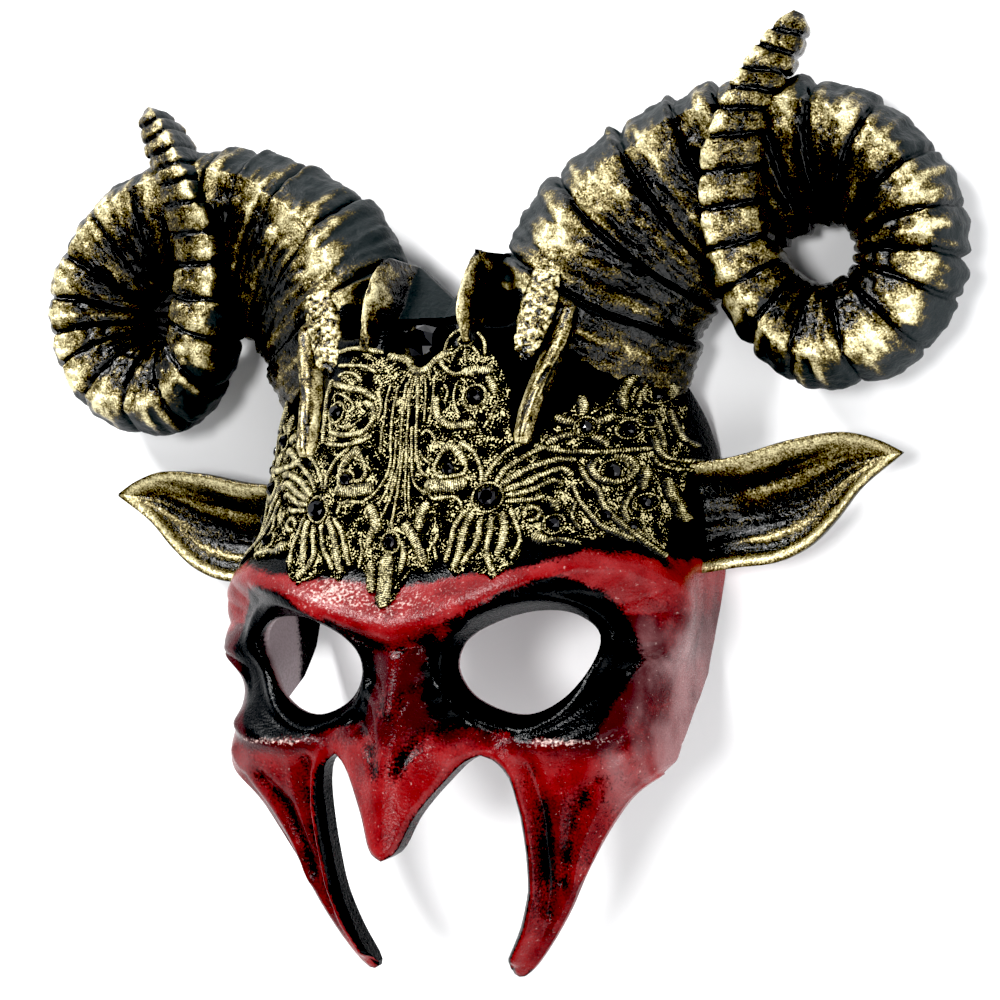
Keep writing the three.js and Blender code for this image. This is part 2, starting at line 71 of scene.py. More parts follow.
SOCKET, SOCKET_SIZE = (38, -47), (25, 19)  # middle and half size of the hollow round the eye

# Raised and sunk lines of the right half: path on the front view, height and half width
BROW = [
    (0, -35), (10, -33), (20, -29), (33, -23.5), (46, -19), (57, -20), (64, -26), (66.5, -34), (63, -41),
]
ROOT_PLATE = [(31.6, 39), (32.2, 44), (33.6, 50), (35.6, 57), (37.5, 65)]
ROOT_PLATE_TOP = 48
HORN_RIB = [(42.8, 56), (41.3, 50), (39.2, 41.7), (36.8, 32.5), (34.9, 24), (33.6, 15)]
CHEEK_ROLL = [(16, -69), (30, -70), (45, -68), (58, -62)]
EDGE_ROLL = [
    (23, -68), (28, -70.5), (32, -77), (33.6, -88), (33.6, -100), (32.8, -111), (29, -122), (24, -130),
]
FOLD_HEIGHT, FOLD_WIDTH = 0.8, 1.15
FINE_LINES = [
    ([(-1, -40.6), (3, -40), (8, -38.8), (14.3, -35.9), (21, -32.5)], -2.2, 1.4),  # under the brow
    ([(9.5, -49.2), (5.3, -51.6), (2.9, -54.3), (0.9, -58.8)], -1.5, 1.9),  # folds beside the nose
    ([(10.5, -53.6), (6.2, -56), (3.7, -59.6), (1.6, -65)], 1.3, 1.9),
    ([(17, -60.6), (10.3, -63.2), (6.6, -66.7), (3.2, -73.5)], -1.8, 2.2),
    ([(20, -65.6), (13.3, -67), (7.5, -70.2), (3.1, -75.6), (0.8, -80)], 1.2, 2.6),
    ([(34, -67.5), (44, -68.3), (54, -67.6), (60, -63)], 1.5, 2.3),  # ledge under the eye
    ([(35.5, -73), (36.2, -79.7), (37.2, -85.6), (37.4, -91.4), (36.9, -98), (36, -109), (34.5, -117)],
     -2.0, 1.8),
    ([(54.5, -78.4), (49.7, -82.8), (46, -87.2), (44.2, -93.1), (42.2, -99), (40.2, -108)], -1.7, 1.9),
    ([(41, -72), (42, -80), (41, -90), (40, -98)], 0.9, 2.2),
    ([(60.5, -79), (52.1, -92.4), (48.7, -98.8), (46, -106)], -1.3, 1.6),
    ([(64, -71.5), (57.5, -81), (53, -87.6), (48.3, -94.5), (45.5, -100), (42.5, -110)], 1.2, 1.9),
]

# Front-view outlines of the right half
EYE = [
    (55.2, -39), (50, -33), (40, -31.3), (28, -33.8), (18, -39.5), (15.2, -46.5), (19.5, -55), (34, -60.3),
    (47, -54),
]
NOSE_EDGE = [(0, -97.6), (3.8, -95.5), (8.4, -86), (14.4, -77.7), (19.4, -72.2), (23, -70.6)]
FANG_INNER = [
    (23, -70.6), (27, -73), (29.6, -78), (31, -88), (31.1, -101), (30, -112), (26.4, -123), (22.2, -131.4),
]
FANG_OUTER = [
    (21.4, -134), (22.2, -136), (24.4, -136.6), (27.4, -134.6), (32.3, -129), (40.1, -117.5), (46.7, -105),
    (55, -91.8), (62.5, -83), (80, -72),
]
REAR_EDGE = [  # side view: height on the face and distance from the plane
    (-144, 48), (-84, 50), (-78, 56), (-71, 49), (-65, 38), (-60, 28), (-54, 18), (-45, 10), (-36, 5),
    (-26, 1.5), (-18, 0), (6, 0), (20, 6), (32, 14), (45, 20),
]

# Paint of the right half on the front view
SOCKET_PAINT = [
    (13.3, -38.2), (20.4, -33.2), (26.7, -29.5), (33, -25.5), (38.7, -23.2), (43.8, -21.8), (48.5, -21.8),
    (53, -23.5), (57.2, -27), (60.4, -31), (63.4, -36.5), (65.5, -41), (65.8, -46), (61.5, -53),
    (58.6, -58), (57.5, -62), (55, -66.3), (46, -66.6), (37.1, -67.2), (32.6, -66), (25.3, -64),
    (17.2, -62.5), (11, -60.5), (8.4, -54), (7.6, -47), (9, -41),
]
LACE_FOOT = [(0, -26), (20, -23), (40, -20.5), (57, -16.5), (66, -19), (75, -24)]

# Horn
COIL = np.array([112, 66])
COIL_HOLE = 9.2
COIL_RIDGE = [(-125, 26.5), (-90, 30), (-45, 33.5), (0, 33.5), (45, 35), (77, 39), (100, 43)]
COIL_ANGLES = [95, 70, 40, 10, -20, -50, -80, -108]
GROOVES = [  # places of the grooves along the ridge
    28, 51.5, 71.5, 89, 102, 115, 129, 146, 163, 177, 189, 199, 213, 229, 244.5, 257, 269.5, 281.5, 293.5,
    303.5, 314, 322, 328.5, 336, 343.5, 350,
]
HORN_RINGS = 620
SECTION_STEPS = [3, 9, 10, 9, 5, 4, 3, 4, 6, 8, 9, 7, 3]  # points from each corner to the next
ROOT_STATIONS = [  # ridge, inner side, height of the back, bulge of the outer side
    ((29, 38, 49), (66, 26, 22), 0, 17), ((32.7, 66, 48.4), (72, 44, 24), 0, 18),
    ((43.5, 84.3, 43), (76.5, 53, 22), 0, 16), ((59.2, 98.5, 38.8), (84, 59, 19), 0, 12),
    ((78, 108.5, 35), (95, 69, 16), 0, 9),
]
STRAND_STATIONS = [
    ((88.5, 59.5, 39.5), (101.5, 64.5, 35), 10, 7), ((82.6, 75, 38.5), (98, 76, 36), 16, 2.5),
    ((82.4, 88, 39.5), (97.8, 88, 36.5), 19, 1.5), ((86, 99.5, 41), (99.8, 99, 37.5), 21, 1.5),
    ((91.5, 112, 39.5), (103.4, 110, 36.5), 22, 1.5), ((99, 124, 35.5), (108.8, 120, 33.5), 21, 1),
    ((105.5, 131.5, 32), (112, 128.5, 31), 22, 0.5), ((109, 134.2, 29.5), (111.4, 132.8, 29), 25, 0),
]

# Ear
EAR_TOP = [(66, 8), (82, 9.3), (100, 13.3), (115, 14.7), (125, 12), (132.3, 8.1)]
EAR_BOTTOM = [
    (66, -25), (82, -23), (94, -21.8), (104, -17.5), (112, -10.5), (120, -1.5), (132.3, 7.6),
]
EAR_RIM_Z, EAR_WALL, EAR_HOLLOW = 22, 4, 7.5

# Crest
FIN_FRONT = [(44, 60.5), (50, 62.5), (58, 61.7), (66, 57.3), (72, 51.5)]
FIN_TOP = [(0, 61.3), (14.5, 74.2), (17, 73), (22, 72.6), (27, 66)]
FIN_INNER_FALL = [(50, 4), (60, 7), (68, 14)]
FIN_OUTER_FALL = [(50, 2.5), (60, 4), (68, 6)]
FIN_START, FIN_FOOT, PLATE = 46, 16, 3.2
VALLEY_START, VALLEY_FLOOR, VALLEY_HALF = 51.5, 23, 13.4
SIDE_VALLEY = [(22.5, 64), (24, 52)]

# Trim
LACE_GAP, LACE_THICK = 0.3, 0.9
CREST_GEM = (0.6, 46.4, 6.3)
GEM_RECESS = 4.5
STONES = [
    (-2.4, -10.7, 2.2),
    (26.2, 0.7, 3.3), (20, 29.4, 2.5), (15, 9.1, 2), (43.5, -7.9, 2), (48.6, 19.3, 2.1), (55.3, 6.4, 2.5),
    (57.8, 18.3, 2), (61.5, 21.1, 1.7), (62.2, 28.1, 1.8), (55, -6.2, 1.7), (60.7, -9.7, 1.7),
    (62.7, -2.9, 1.8),
    (-26.8, -0.4, 3), (-24.7, 27.6, 2.3), (-17.1, 7.6, 2), (-47.7, -9.5, 1.8), (-50.1, 20.8, 1.9),
    (-55.3, 6.4, 2.3), (-60.7, -9.7, 1.7), (-62, -2.9, 1.8), (-64.5, 12.5, 1.8), (-65, 18.5, 1.8),
    (-64.8, 24.5, 1.8),
]

NET_EDGE = [
    (-1, -29.5), (3, -20), (7, -18), (10, -20), (14, -16), (18, -21), (23, -19), (30, -22), (36, -17),
    (37, -12), (42, -14), (49, -14), (56, -11.5), (61, -14), (66, -19), (68.5, -10), (69, 4), (68.5, 14),
    (67.5, 24), (65.5, 35), (59, 35.5), (54, 30), (52, 26), (48, 28.5), (44, 24), (40, 22), (37, 13),
    (32.5, 12), (30.5, 22), (29, 32), (26, 38), (22, 44), (19, 48), (15.5, 49.5), (12, 48.5), (9.5, 44),
    (6, 41.5), (0, 38.5),
]

# Cords of both halves: width, then the path over the right half
LACE_SIDES = [
    # flower over the eye: petals
    (2.3, [(22.8, -3.2), (21, -6.5), (20, -10), (19.4, -14), (17.8, -19)]),
    (1.6, [(25, -4.6), (24.7, -8), (24, -12), (22.2, -15), (20.4, -18)]),
    (1.6, [(27.8, -4.6), (27.6, -9), (27.2, -13), (28, -17), (30.4, -20.5)]),
    (2.4, [(30, -3.4), (31.1, -7), (31.1, -12), (30.2, -16)]),
    (1.2, [(32.2, -2.6), (34.6, -8), (35.8, -12), (34.2, -17)]),
    (1.5, [(20.5, -3), (17.8, -7), (16.6, -12), (15.2, -17)]),
    # flower over the eye: rays
    (1.0, [(25, 5), (26, 8), (28, 11), (31, 14), (34, 15.5)]),
    (1.4, [(28, 4.6), (30, 8), (34, 11), (38, 13.3), (43, 13.8)]),
    (1.9, [(29.2, 3.6), (33, 6.6), (38, 9), (43, 10.4), (47, 10)]),
    (1.9, [(30.2, 2.4), (35, 4), (40, 6.5), (44, 7.6), (46.6, 5.6)]),
    (1.6, [(30.8, 0.9), (35, 1.5), (39, 3), (42, 4.4), (44.5, 3.2)]),
    (1.2, [(30.8, -0.8), (34.5, -0.6), (38, -0.6), (40.5, 0.4)]),
    (1.1, [(24.3, 5), (23.8, 9), (21.4, 13.6), (17.2, 16.8)]),
    # teardrop beside the middle
    (2.2, [(12.6, 14), (15.2, 15.4), (17.8, 13), (20, 9.6)]),
    (1.1, [(20, 9.6), (19.4, 7.6), (16, 7.1), (12.4, 7.2), (11, 8.8), (11.4, 11.4), (12.8, 14)]),
    (3.6, [(8, 5.2), (12, 4.6), (16, 4.4), (20.6, 5.2)]),
    (0.8, [(9.6, 2.6), (11, 1.2), (14, 1.3), (17.4, 1.2), (19.2, -0.4), (19.6, -2.4)]),
    (3.0, [(9.6, 0.2), (8.2, -2), (7, -5), (6.9, -8)]),
    # flower of the temple
    (2.7, [(47.4, 22.6), (47.6, 25.6), (46.4, 28.4)]),
    (2.8, [(46.2, 20.4), (43.4, 21.4), (41, 22.4)]),
    (2.4, [(46.6, 17.4), (43, 16.8), (39.4, 14.8)]),
    (3.2, [(50.4, 20.8), (52.8, 21.4), (54.6, 23)]),
    (2.8, [(50, 16.6), (52.4, 15.2), (53.4, 13.4)]),
    (1.0, [(49.4, 23), (51.6, 24.6), (53.6, 26)]),
    # bands of the temple
    (1.9, [(36.6, 14.6), (41, 13.2), (46, 12.4), (52, 12), (58, 12.2), (62.5, 12.6)]),
    (2.5, [(56.6, 23.8), (55.7, 28), (56.5, 32), (59, 34.4), (62, 34.2), (64, 31.6), (64.6, 27)]),
    (1.3, [(59.2, 24.6), (58.9, 28), (60, 31.6)]),
    (2.2, [(51.6, 10), (50.6, 7.4), (52.4, 4.6), (55.6, 3.4), (58.6, 4.2), (59.6, 7), (58, 10),
           (55, 10.9)]),
    (1.6, [(48, 8), (50, 4), (52.6, 1), (53.6, -2), (55.2, -5), (58, -8.4), (62, -14), (66, -19)]),
    (1.4, [(46.6, 3), (48.4, -1), (51, -5), (54, -9), (58, -12), (61, -14)]),
    (1.4, [(60.4, 2.6), (59.4, -1), (58.8, -4.4), (60.4, -9), (63.4, -13.4)]),
    (2.6, [(61.8, 7.2), (61.8, 4), (61.4, 0.6)]),
    (1.4, [(62.6, 16), (63.4, 12.4), (65.6, 9.4), (70.6, 8.4)]),
    (1.3, [(62.6, 10.4), (65, 7.2), (70.6, 5.6)]),
    (2.0, [(65.6, 4), (66.8, -0.6), (68.4, -4.4), (69.6, -9)]),
    (1.2, [(64.6, 24), (66, 19), (67.6, 15), (69.8, 12.6)]),
    (1.2, [(61, 24), (62.8, 20), (64, 16.4), (64.6, 12.6)]),
    # small leaves above the brow
    (1.4, [(36.2, -5.6), (36, -3.6), (38.2, -2.8), (40, -4.4), (38.8, -6.4), (36.8, -6.2)]),
    (3.2, [(42, -1), (43.4, -2.4), (44.2, -4)]),
    (3.4, [(38.4, -10.2), (40.6, -11.6), (42.6, -12)]),
    (1.3, [(40.6, -12.8), (45, -12.4), (49.4, -13.6)]),
    (1.1, [(48, -1.6), (47.6, -6), (49.6, -10)]),
]

# Cords of the middle and of the two upper fields: width, then the path
LACE_MIDDLE = [
    (2.6, [(-9.8, 44), (-8, 42.6), (-5, 42.2), (-3, 40.8), (-1.4, 38.8), (1.5, 37.7), (4.5, 38.8),
           (6.6, 40.8), (9.4, 42.4), (11.4, 42.6)]),
    # fan at the foot of the right fin
    (1.3, [(9.6, 42.4), (10.2, 46), (12.4, 48.6), (15.8, 49.4), (19, 48), (21, 45), (21.4, 41.4)]),
    (1.0, [(13.4, 46), (14.6, 47.4), (16.6, 47.4), (17.8, 46), (16.8, 44.6), (14.6, 44.6), (13.4, 46)]),
    (1.2, [(13.8, 44.2), (12.6, 42.4), (12.2, 40.4)]),
    (1.2, [(15.8, 43.8), (15.8, 42), (16, 40)]),
    (1.2, [(17.6, 44.4), (19, 42.6), (20, 40.6)]),
    # fountain
    (1.3, [(1.8, 36.8), (2.6, 32), (3.4, 27), (3.8, 22), (4.2, 17), (5.2, 12), (7, 8.6), (9.6, 7.4)]),
    (1.0, [(0.2, 36), (0.2, 30), (0.6, 24), (0.7, 18), (1.2, 12), (1.4, 7), (1.6, 3), (2.6, -3)]),
    (1.1, [(2.2, 22), (2.8, 17), (3.4, 12), (4.2, 7), (6.4, 4), (9.6, 2.6)]),
    (1.1, [(-1.6, 35), (-1.6, 27), (-1.5, 20), (-1.2, 14), (-1.6, 10), (-2.4, 5), (-4, 0), (-6, -4),
           (-8.6, -8)]),
    (1.0, [(-4, 34), (-4.6, 28), (-4.6, 22), (-4.4, 17), (-4, 12), (-5, 8), (-7, 4.4), (-9.6, 2)]),
    (1.2, [(-0.4, 15), (-0.6, 9), (-1, 4), (-1.6, -1), (-2.4, -6.4)]),
    (1.0, [(-3, 20), (-2.8, 14), (-3.2, 9), (-4.8, 3.4), (-6.8, 0)]),
    (1.0, [(2.6, 9), (2.9, 4), (3.2, 0), (4, -4)]),
    (0.9, [(4.6, 35.6), (5.6, 31), (6, 27), (6.2, 23)]),
    (0.9, [(-6.6, 35), (-7.2, 30), (-7, 25), (-7.4, 20), (-7, 15)]),
    # satin tongues over the nose
    (3.6, [(1.8, -5.4), (4.4, -8.4), (6.6, -12.4), (8.8, -17)]),
    (2.4, [(1.6, -10.4), (2, -14), (1, -19.4)]),
    (5.4, [(-3, -13.6), (-3.6, -18), (-3.6, -24), (-2.4, -29)]),
    (3.2, [(-8.4, -15.6), (-8.4, -20), (-7.2, -25)]),
    (2.4, [(-5.6, -3.6), (-8, -7), (-9.4, -12)]),
    (1.2, [(-12, -9), (-11.4, -13), (-12.4, -17.6)]),
    (1.2, [(12.8, -8.6), (11.6, -12), (12.4, -16)]),
    # right upper field
    (1.5, [(8.6, 40.8), (10.6, 38), (13.4, 36.2), (15.6, 36.4)]),
    (3.0, [(15, 36.8), (20, 37), (24.4, 36.6)]),
    (2.6, [(22.4, 35), (24.4, 32.6), (25.4, 29.4)]),
    (2.4, [(9, 30), (9.8, 25.8), (12.4, 22.2), (16, 21.2), (21.6, 21.4)]),
    (1.0, [(7.4, 35.6), (7.8, 31), (8, 26), (7.6, 23)]),
    (0.9, [(14.4, 34), (14, 30.6), (14.8, 27), (16.4, 24.6)]),
    (1.0, [(23.6, 20), (25.4, 24), (26.6, 28)]),
    (1.0, [(10.6, 33.6), (12, 31.4), (11.6, 28)]),
    (0.9, [(5.6, 19), (7, 20.6), (9.4, 19.2), (10.8, 16.4)]),
    (0.9, [(5.6, 15), (7.4, 12.4), (9.6, 11)]),
    # left upper field
    (2.0, [(-29, 38), (-30, 34), (-29.6, 29), (-28.6, 24), (-28, 19)]),
    (1.1, [(-26.6, 33.6), (-22.6, 32.4), (-19.4, 30.4), (-17.4, 27.6)]),
    (2.4, [(-28, 36.4), (-24, 35.2), (-20, 34.2), (-15.4, 33.2), (-10.6, 30.6)]),
    (1.3, [(-27, 38.8), (-23.4, 39.6), (-20, 38.8), (-17, 36.6)]),
    (1.3, [(-27.4, 42), (-22, 41.6), (-16.4, 40.8), (-12, 38.6)]),
    (1.6, [(-28, 46), (-22, 46.6), (-16, 46), (-11, 44.4)]),
    (1.9, [(-26.4, 22), (-21, 20.8), (-16, 20.8), (-12.2, 22), (-10.6, 25), (-11.4, 28.4), (-14.6, 30)]),
    (1.5, [(-26.4, 18.4), (-20, 17.8), (-14, 18.4), (-10.4, 20)]),
    (1.0, [(-23, 23.4), (-18, 23), (-14.6, 25)]),
    (1.0, [(-9.4, 36), (-10, 33), (-8.6, 28), (-9, 24)]),
    (1.0, [(-22, 15), (-18, 14.6), (-13, 13), (-9.4, 10)]),
]
TEARDROP_STONE = (15, 9.1)  # its cord is drawn above
CORD_STEP = 0.45
STITCH = 0.55


# Numbers

def profile(keys, place):
    """Value of a profile of (place, value) pairs, on a smooth curve through them."""
    at, value = np.array(keys, float).T
    before = np.maximum(np.arange(len(at)) - 1, 0)
    after = np.minimum(np.arange(len(at)) + 1, len(at) - 1)
    slope = (value[after] - value[before]) / (at[after] - at[before])
    i = np.clip(np.searchsorted(at, place) - 1, 0, len(at) - 2)
    span = at[i + 1] - at[i]
    t = np.clip((place - at[i]) / span, 0, 1)
    rise = (1 + 2 * t) * (1 - t) ** 2 * value[i] + t * t * (3 - 2 * t) * value[i + 1]
    return rise + span * (t * (1 - t) ** 2 * slope[i] - t * t * (1 - t) * slope[i + 1])


def straight(keys, place):
    """Value of a profile of (place, value) pairs, on straight lines between them."""
    return np.interp(place, *np.transpose(keys))


def smoothstep(value, low, high):
    """Rises smoothly from 0 at low to 1 at high."""
    t = np.clip((value - low) / (high - low), 0, 1)
    return t * t * (3 - 2 * t)


def bell(distance, width):
    """1 at no distance, falling to 0 over about twice the width."""
    return np.exp(-((distance / width) ** 2))


def soft_positive(value, softness):
    """The value where it is positive and 0 where it isn't, with a rounded corner."""
    return (value + np.sqrt(value * value + softness * softness)) / 2


def nearest(path, x, y):
    """Closest place on a path: the distance, how far along it from 0 to 1, and the side it is on."""
    x, y = np.broadcast_arrays(np.asarray(x, float), np.asarray(y, float))
    distance = np.full(x.shape, np.inf)
    along = np.zeros(x.shape)
    side = np.ones(x.shape)
    for i in range(len(path) - 1):
        dx = path[i + 1][0] - path[i][0]
        dy = path[i + 1][1] - path[i][1]
        px = x - path[i][0]
        py = y - path[i][1]
        t = np.clip((px * dx + py * dy) / (dx * dx + dy * dy), 0, 1)
        away = np.hypot(px - t * dx, py - t * dy)
        closer = away < distance
        distance = np.where(closer, away, distance)
        along = np.where(closer, (i + t) / (len(path) - 1), along)
        side = np.where(closer, np.sign(dx * py - dy * px), side)
    return distance, along, side


def depth_inside(outline, x, y):
    """Distance to a closed outline, positive inside it."""
    inside = np.zeros(np.shape(x), bool)
    loop = list(outline) + [outline[0]]
    for (ax, ay), (bx, by) in zip(loop, loop[1:]):
        crosses = (ay > y) != (by > y)
        reach = ax + (bx - ax) * (y - ay) / ((by - ay) or 1e-9)
        inside ^= crosses & (x < reach)
    return np.where(inside, 1, -1) * nearest(loop, x, y)[0]


LATTICE = np.random.default_rng(7).random((64, 64, 64))


def noise(points, size, octaves=1):
    """Smooth noise from 0 to 1 whose bumps are about size apart."""
    total, weight = 0, 0
    for octave in range(octaves):
        p = np.asarray(points) / np.asarray(size) * 2 ** octave + 17.3 * octave
        cell = np.floor(p).astype(int)
        f = p - cell
        f = f * f * (3 - 2 * f)
        value = 0
        for corner in np.ndindex(2, 2, 2):
            share = np.prod(np.where(corner, f, 1 - f), axis=-1)
            at = (cell + corner) % 64
            value = value + share * LATTICE[at[..., 0], at[..., 1], at[..., 2]]
        total = total + value / 2 ** octave
        weight += 1 / 2 ** octave
    return total / weight


def open_keys(points):
    """Keys of a smooth curve through the points, with one more before the first and after the last."""
    keys = np.array(points, float)
    return np.vstack([2 * keys[0] - keys[1], keys, 2 * keys[-1] - keys[-2]])


def knots_of(keys):
    """Places of the keys along their smooth curve, as a column."""
    gaps = np.linalg.norm(np.diff(keys, axis=0), axis=1) ** 0.5
    return np.concatenate([[0], np.cumsum(gaps)])[:, None]


def on_curve(keys, knots, i, t):
    """Points of the smooth curve at the knot values t, all between key i and the next."""
    t0, t1, t2, t3 = (knots[i + k] for k in (-1, 0, 1, 2))
    p0, p1, p2, p3 = (keys[i + k] for k in (-1, 0, 1, 2))
    a1 = (t1 - t) / (t1 - t0) * p0 + (t - t0) / (t1 - t0) * p1
    a2 = (t2 - t) / (t2 - t1) * p1 + (t - t1) / (t2 - t1) * p2
    a3 = (t3 - t) / (t3 - t2) * p2 + (t - t2) / (t3 - t2) * p3
    b1 = (t2 - t) / (t2 - t0) * a1 + (t - t0) / (t2 - t0) * a2
    b2 = (t3 - t) / (t3 - t1) * a2 + (t - t1) / (t3 - t1) * a3
    return (t2 - t) / (t2 - t1) * b1 + (t - t1) / (t2 - t1) * b2


def curve_through(points, count, closed=False):
    """Points spread evenly along a smooth curve through the given ones."""
    keys = np.array(points, float)
    keys = np.vstack([keys[-2:], keys, keys[:3]]) if closed else open_keys(points)
    knots = knots_of(keys)
    first, last = (2, len(keys) - 3) if closed else (1, len(keys) - 2)
    pieces = []
    for i in range(first, last):
        pieces.append(on_curve(keys, knots, i, np.linspace(knots[i], knots[i + 1], 24, endpoint=False)))
    line = np.vstack(pieces + [keys[last][None]])
    at = length_along(line)
    wanted = np.linspace(0, 1, count + 1 if closed else count)[:count] * at[-1]
    return points_along(line, at, wanted)


def length_along(line):
    """Length of the line up to each of its points."""
    return np.concatenate([[0], np.cumsum(np.linalg.norm(np.diff(line, axis=0), axis=1))])


def points_along(line, at, wanted):
    """Points of a dense line at the wanted values of at, which has one value for each point of the line."""
    return np.column_stack([np.interp(wanted, at, axis) for axis in line.T])


def mirrored(points):
    """The front-view path on the other side of the face, from its end to its start."""
    return [(-x, y) for x, y in points][::-1]


# Meshes

def make_piece(name, points, faces, material, replaced=None):
    """A smooth mesh object from points in millimetres, which stands for CAD nodes."""
    mesh = bpy.data.meshes.new(name)
    placed = (np.asarray(points, float) + (0, MIDDLE_Y, 0)) * MM
    mesh.from_pydata(placed.tolist(), [], [list(face) for face in faces])
    mesh.validate()
    piece = bpy.data.objects.new(name, mesh)
    bpy.context.scene.collection.objects.link(piece)
    face_outward(mesh)
    if material:
        mesh.materials.append(material)
        mesh.shade_smooth()
    if replaced:
        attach(piece, "root")
        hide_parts(replaced)
    return piece


def face_outward(mesh):
    """Turns all faces round if the closed mesh is inside out."""
    work = bmesh.new()
    work.from_mesh(mesh)
    if work.calc_volume(signed=True) < 0:
        bmesh.ops.reverse_faces(work, faces=work.faces)
        work.to_mesh(mesh)
    work.free()


def grid_faces(rows, columns, closed=True):
    """Quads of a grid of points, closed round its columns or not."""
    i, j = np.meshgrid(np.arange(rows - 1), np.arange(columns if closed else columns - 1), indexing="ij")
    a = (i * columns + j).ravel()
    b = (i * columns + (j + 1) % columns).ravel()
    return np.column_stack([a, b, b + columns, a + columns]).tolist()


def ring_mesh(rings):
    """Points and faces of a closed solid of rings."""
    rows, columns = rings.shape[:2]
    faces = grid_faces(rows, columns)
    faces.append(list(range(columns))[::-1])
    faces.append(list(range((rows - 1) * columns, rows * columns)))
    return rings.reshape(-1, 3), faces


def slab_mesh(top, low):
    """Points and faces of a closed slab between two grids of points."""
    rows, columns = top.shape[:2]
    count = rows * columns
    at = np.arange(count).reshape(rows, columns)
    loop = np.concatenate([at[0, :-1], at[:-1, -1], at[-1, :0:-1], at[:0:-1, 0]]).tolist()
    sides = [[b, a, a + count, b + count] for a, b in zip(loop, loop[1:] + loop[:1])]
    upper = grid_faces(rows, columns, closed=False)
    lower = [[corner + count for corner in face[::-1]] for face in upper]
    return np.vstack([top.reshape(-1, 3), low.reshape(-1, 3)]), upper + sides + lower


def prism(points, low_of, high_of):
    """Points and faces of a prism over a front-view outline, between two heights."""
    count = len(points)
    x, y = np.array(points, float).T
    low = np.column_stack([x, y, low_of(x, y) + 0 * x])
    high = np.column_stack([x, y, high_of(x, y) + 0 * x])
    sides = [[i, (i + 1) % count, count + (i + 1) % count, count + i] for i in range(count)]
    return np.vstack([low, high]), sides + [list(range(count))[::-1], list(range(count, 2 * count))]


def combine(piece, operation, points, faces):
    """Cuts a piece by a closed helper solid, or keeps what both share."""
    helper = make_piece("helper", points, faces, None)
    modifier = piece.modifiers.new("cut", "BOOLEAN")
    modifier.operation = operation
    modifier.solver = "MANIFOLD"
    modifier.object = helper
    apply_modifiers(piece)
    bpy.data.objects.remove(helper, do_unlink=True)


def apply_modifiers(piece):
    """Gives the piece the mesh that its modifiers make of it."""
    evaluated = piece.evaluated_get(bpy.context.evaluated_depsgraph_get())
    mesh = bpy.data.meshes.new_from_object(evaluated)
    old = piece.data
    piece.modifiers.clear()
    piece.data = mesh
    bpy.data.meshes.remove(old)


def read(mesh, name):
    """A property of all points of a mesh that is three numbers each."""
    flat = np.empty(3 * len(mesh.vertices))
    mesh.vertices.foreach_get(name, flat)
    return flat.reshape(-1, 3)


def paint(piece, **values):
    """Stores one number per point of the piece for its material."""
    for name, value in values.items():
        layer = piece.data.attributes.new(name, "FLOAT", "POINT")
        layer.data.foreach_set("value", np.asarray(value, np.float32).ravel())


def outward_of(rings):
    """Directions square to a surface of closed rings, away from their middles."""
    across = np.roll(rings, -1, axis=1) - np.roll(rings, 1, axis=1)
    normal = np.cross(across, np.gradient(rings, axis=0))
    normal = normal / np.maximum(np.linalg.norm(normal, axis=-1, keepdims=True), 1e-9)
    from_middle = rings - rings.mean(axis=1, keepdims=True)
    return normal * np.sign(np.mean(np.sum(normal * from_middle, axis=-1)))


def make_gilded(name, flip, rings, material, gilt, dull):
    """A gilded piece of the cast from its rings, mirrored for the left side."""
    if flip:
        rings = rings * (-1, 1, 1)
    points, faces = ring_mesh(rings)
    piece = make_piece(name, points, faces, material, "mask")
    paint(piece, gilt=gilt, dull=dull)
    cut_by_hollow(piece)


# Materials

RED, BRIGHT_RED = (0.14, 0.012, 0.013), (0.225, 0.021, 0.022)
DARK_RED_AND_SHADE, PAINTED_SHEEN_PINK = (0.036, 0.004, 0.006), (0.22, 0.11, 0.112)
RUB_AND_GLINT_PINK, BARE_CAST = (0.62, 0.44, 0.40), (0.30, 0.25, 0.26)
SOOT_BLACK, GLOSS_BLACK, SLATE = (0.002, 0.0025, 0.003), (0.0012, 0.0016, 0.0016), (0.013, 0.017, 0.018)
DARK_GOLD, BRIGHT_GOLD = (0.105, 0.076, 0.022), (0.88, 0.79, 0.47)
DARK_THREAD, BRIGHT_THREAD, NET_THREAD = (0.14, 0.11, 0.035), (0.88, 0.80, 0.48), (0.60, 0.53, 0.30)
THREAD_GAP, NET_BLACK = (0.003, 0.003, 0.002), (0.002, 0.002, 0.002)
STONE_BLACK, STONE_GREY = (0.001, 0.001, 0.0015), (0.005, 0.005, 0.007)
FLOOR_GREY, FLOOR_WHITE = (0.86, 0.86, 0.87), (0.89, 0.89, 0.89)


def add(tree, kind, inputs=None, **settings):
    """A shader node, with its settings made and its inputs linked or set."""
    node = tree.nodes.new("ShaderNode" + kind)
    for key, value in settings.items():
        setattr(node, key, value)
    for key, value in (inputs or {}).items():
        if isinstance(value, bpy.types.NodeSocket):
            tree.links.new(value, node.inputs[key])
        else:
            node.inputs[key].default_value = value
    return node


def calc(tree, operation, *values):
    """Result of a calculation with numbers or sockets."""
    return add(tree, "Math", dict(enumerate(values)), operation=operation).outputs[0]


def uneven(tree, value, texture, amount):
    """A value pushed up and down by a texture."""
    return calc(tree, "ADD", value, calc(tree, "MULTIPLY_ADD", texture, amount, -amount / 2))


def ramp(tree, value, low, high):
    """Rises smoothly from 0 at low to 1 at high."""
    inputs = {"Value": value, "From Min": low, "From Max": high}
    return add(tree, "MapRange", inputs, interpolation_type="SMOOTHSTEP").outputs[0]


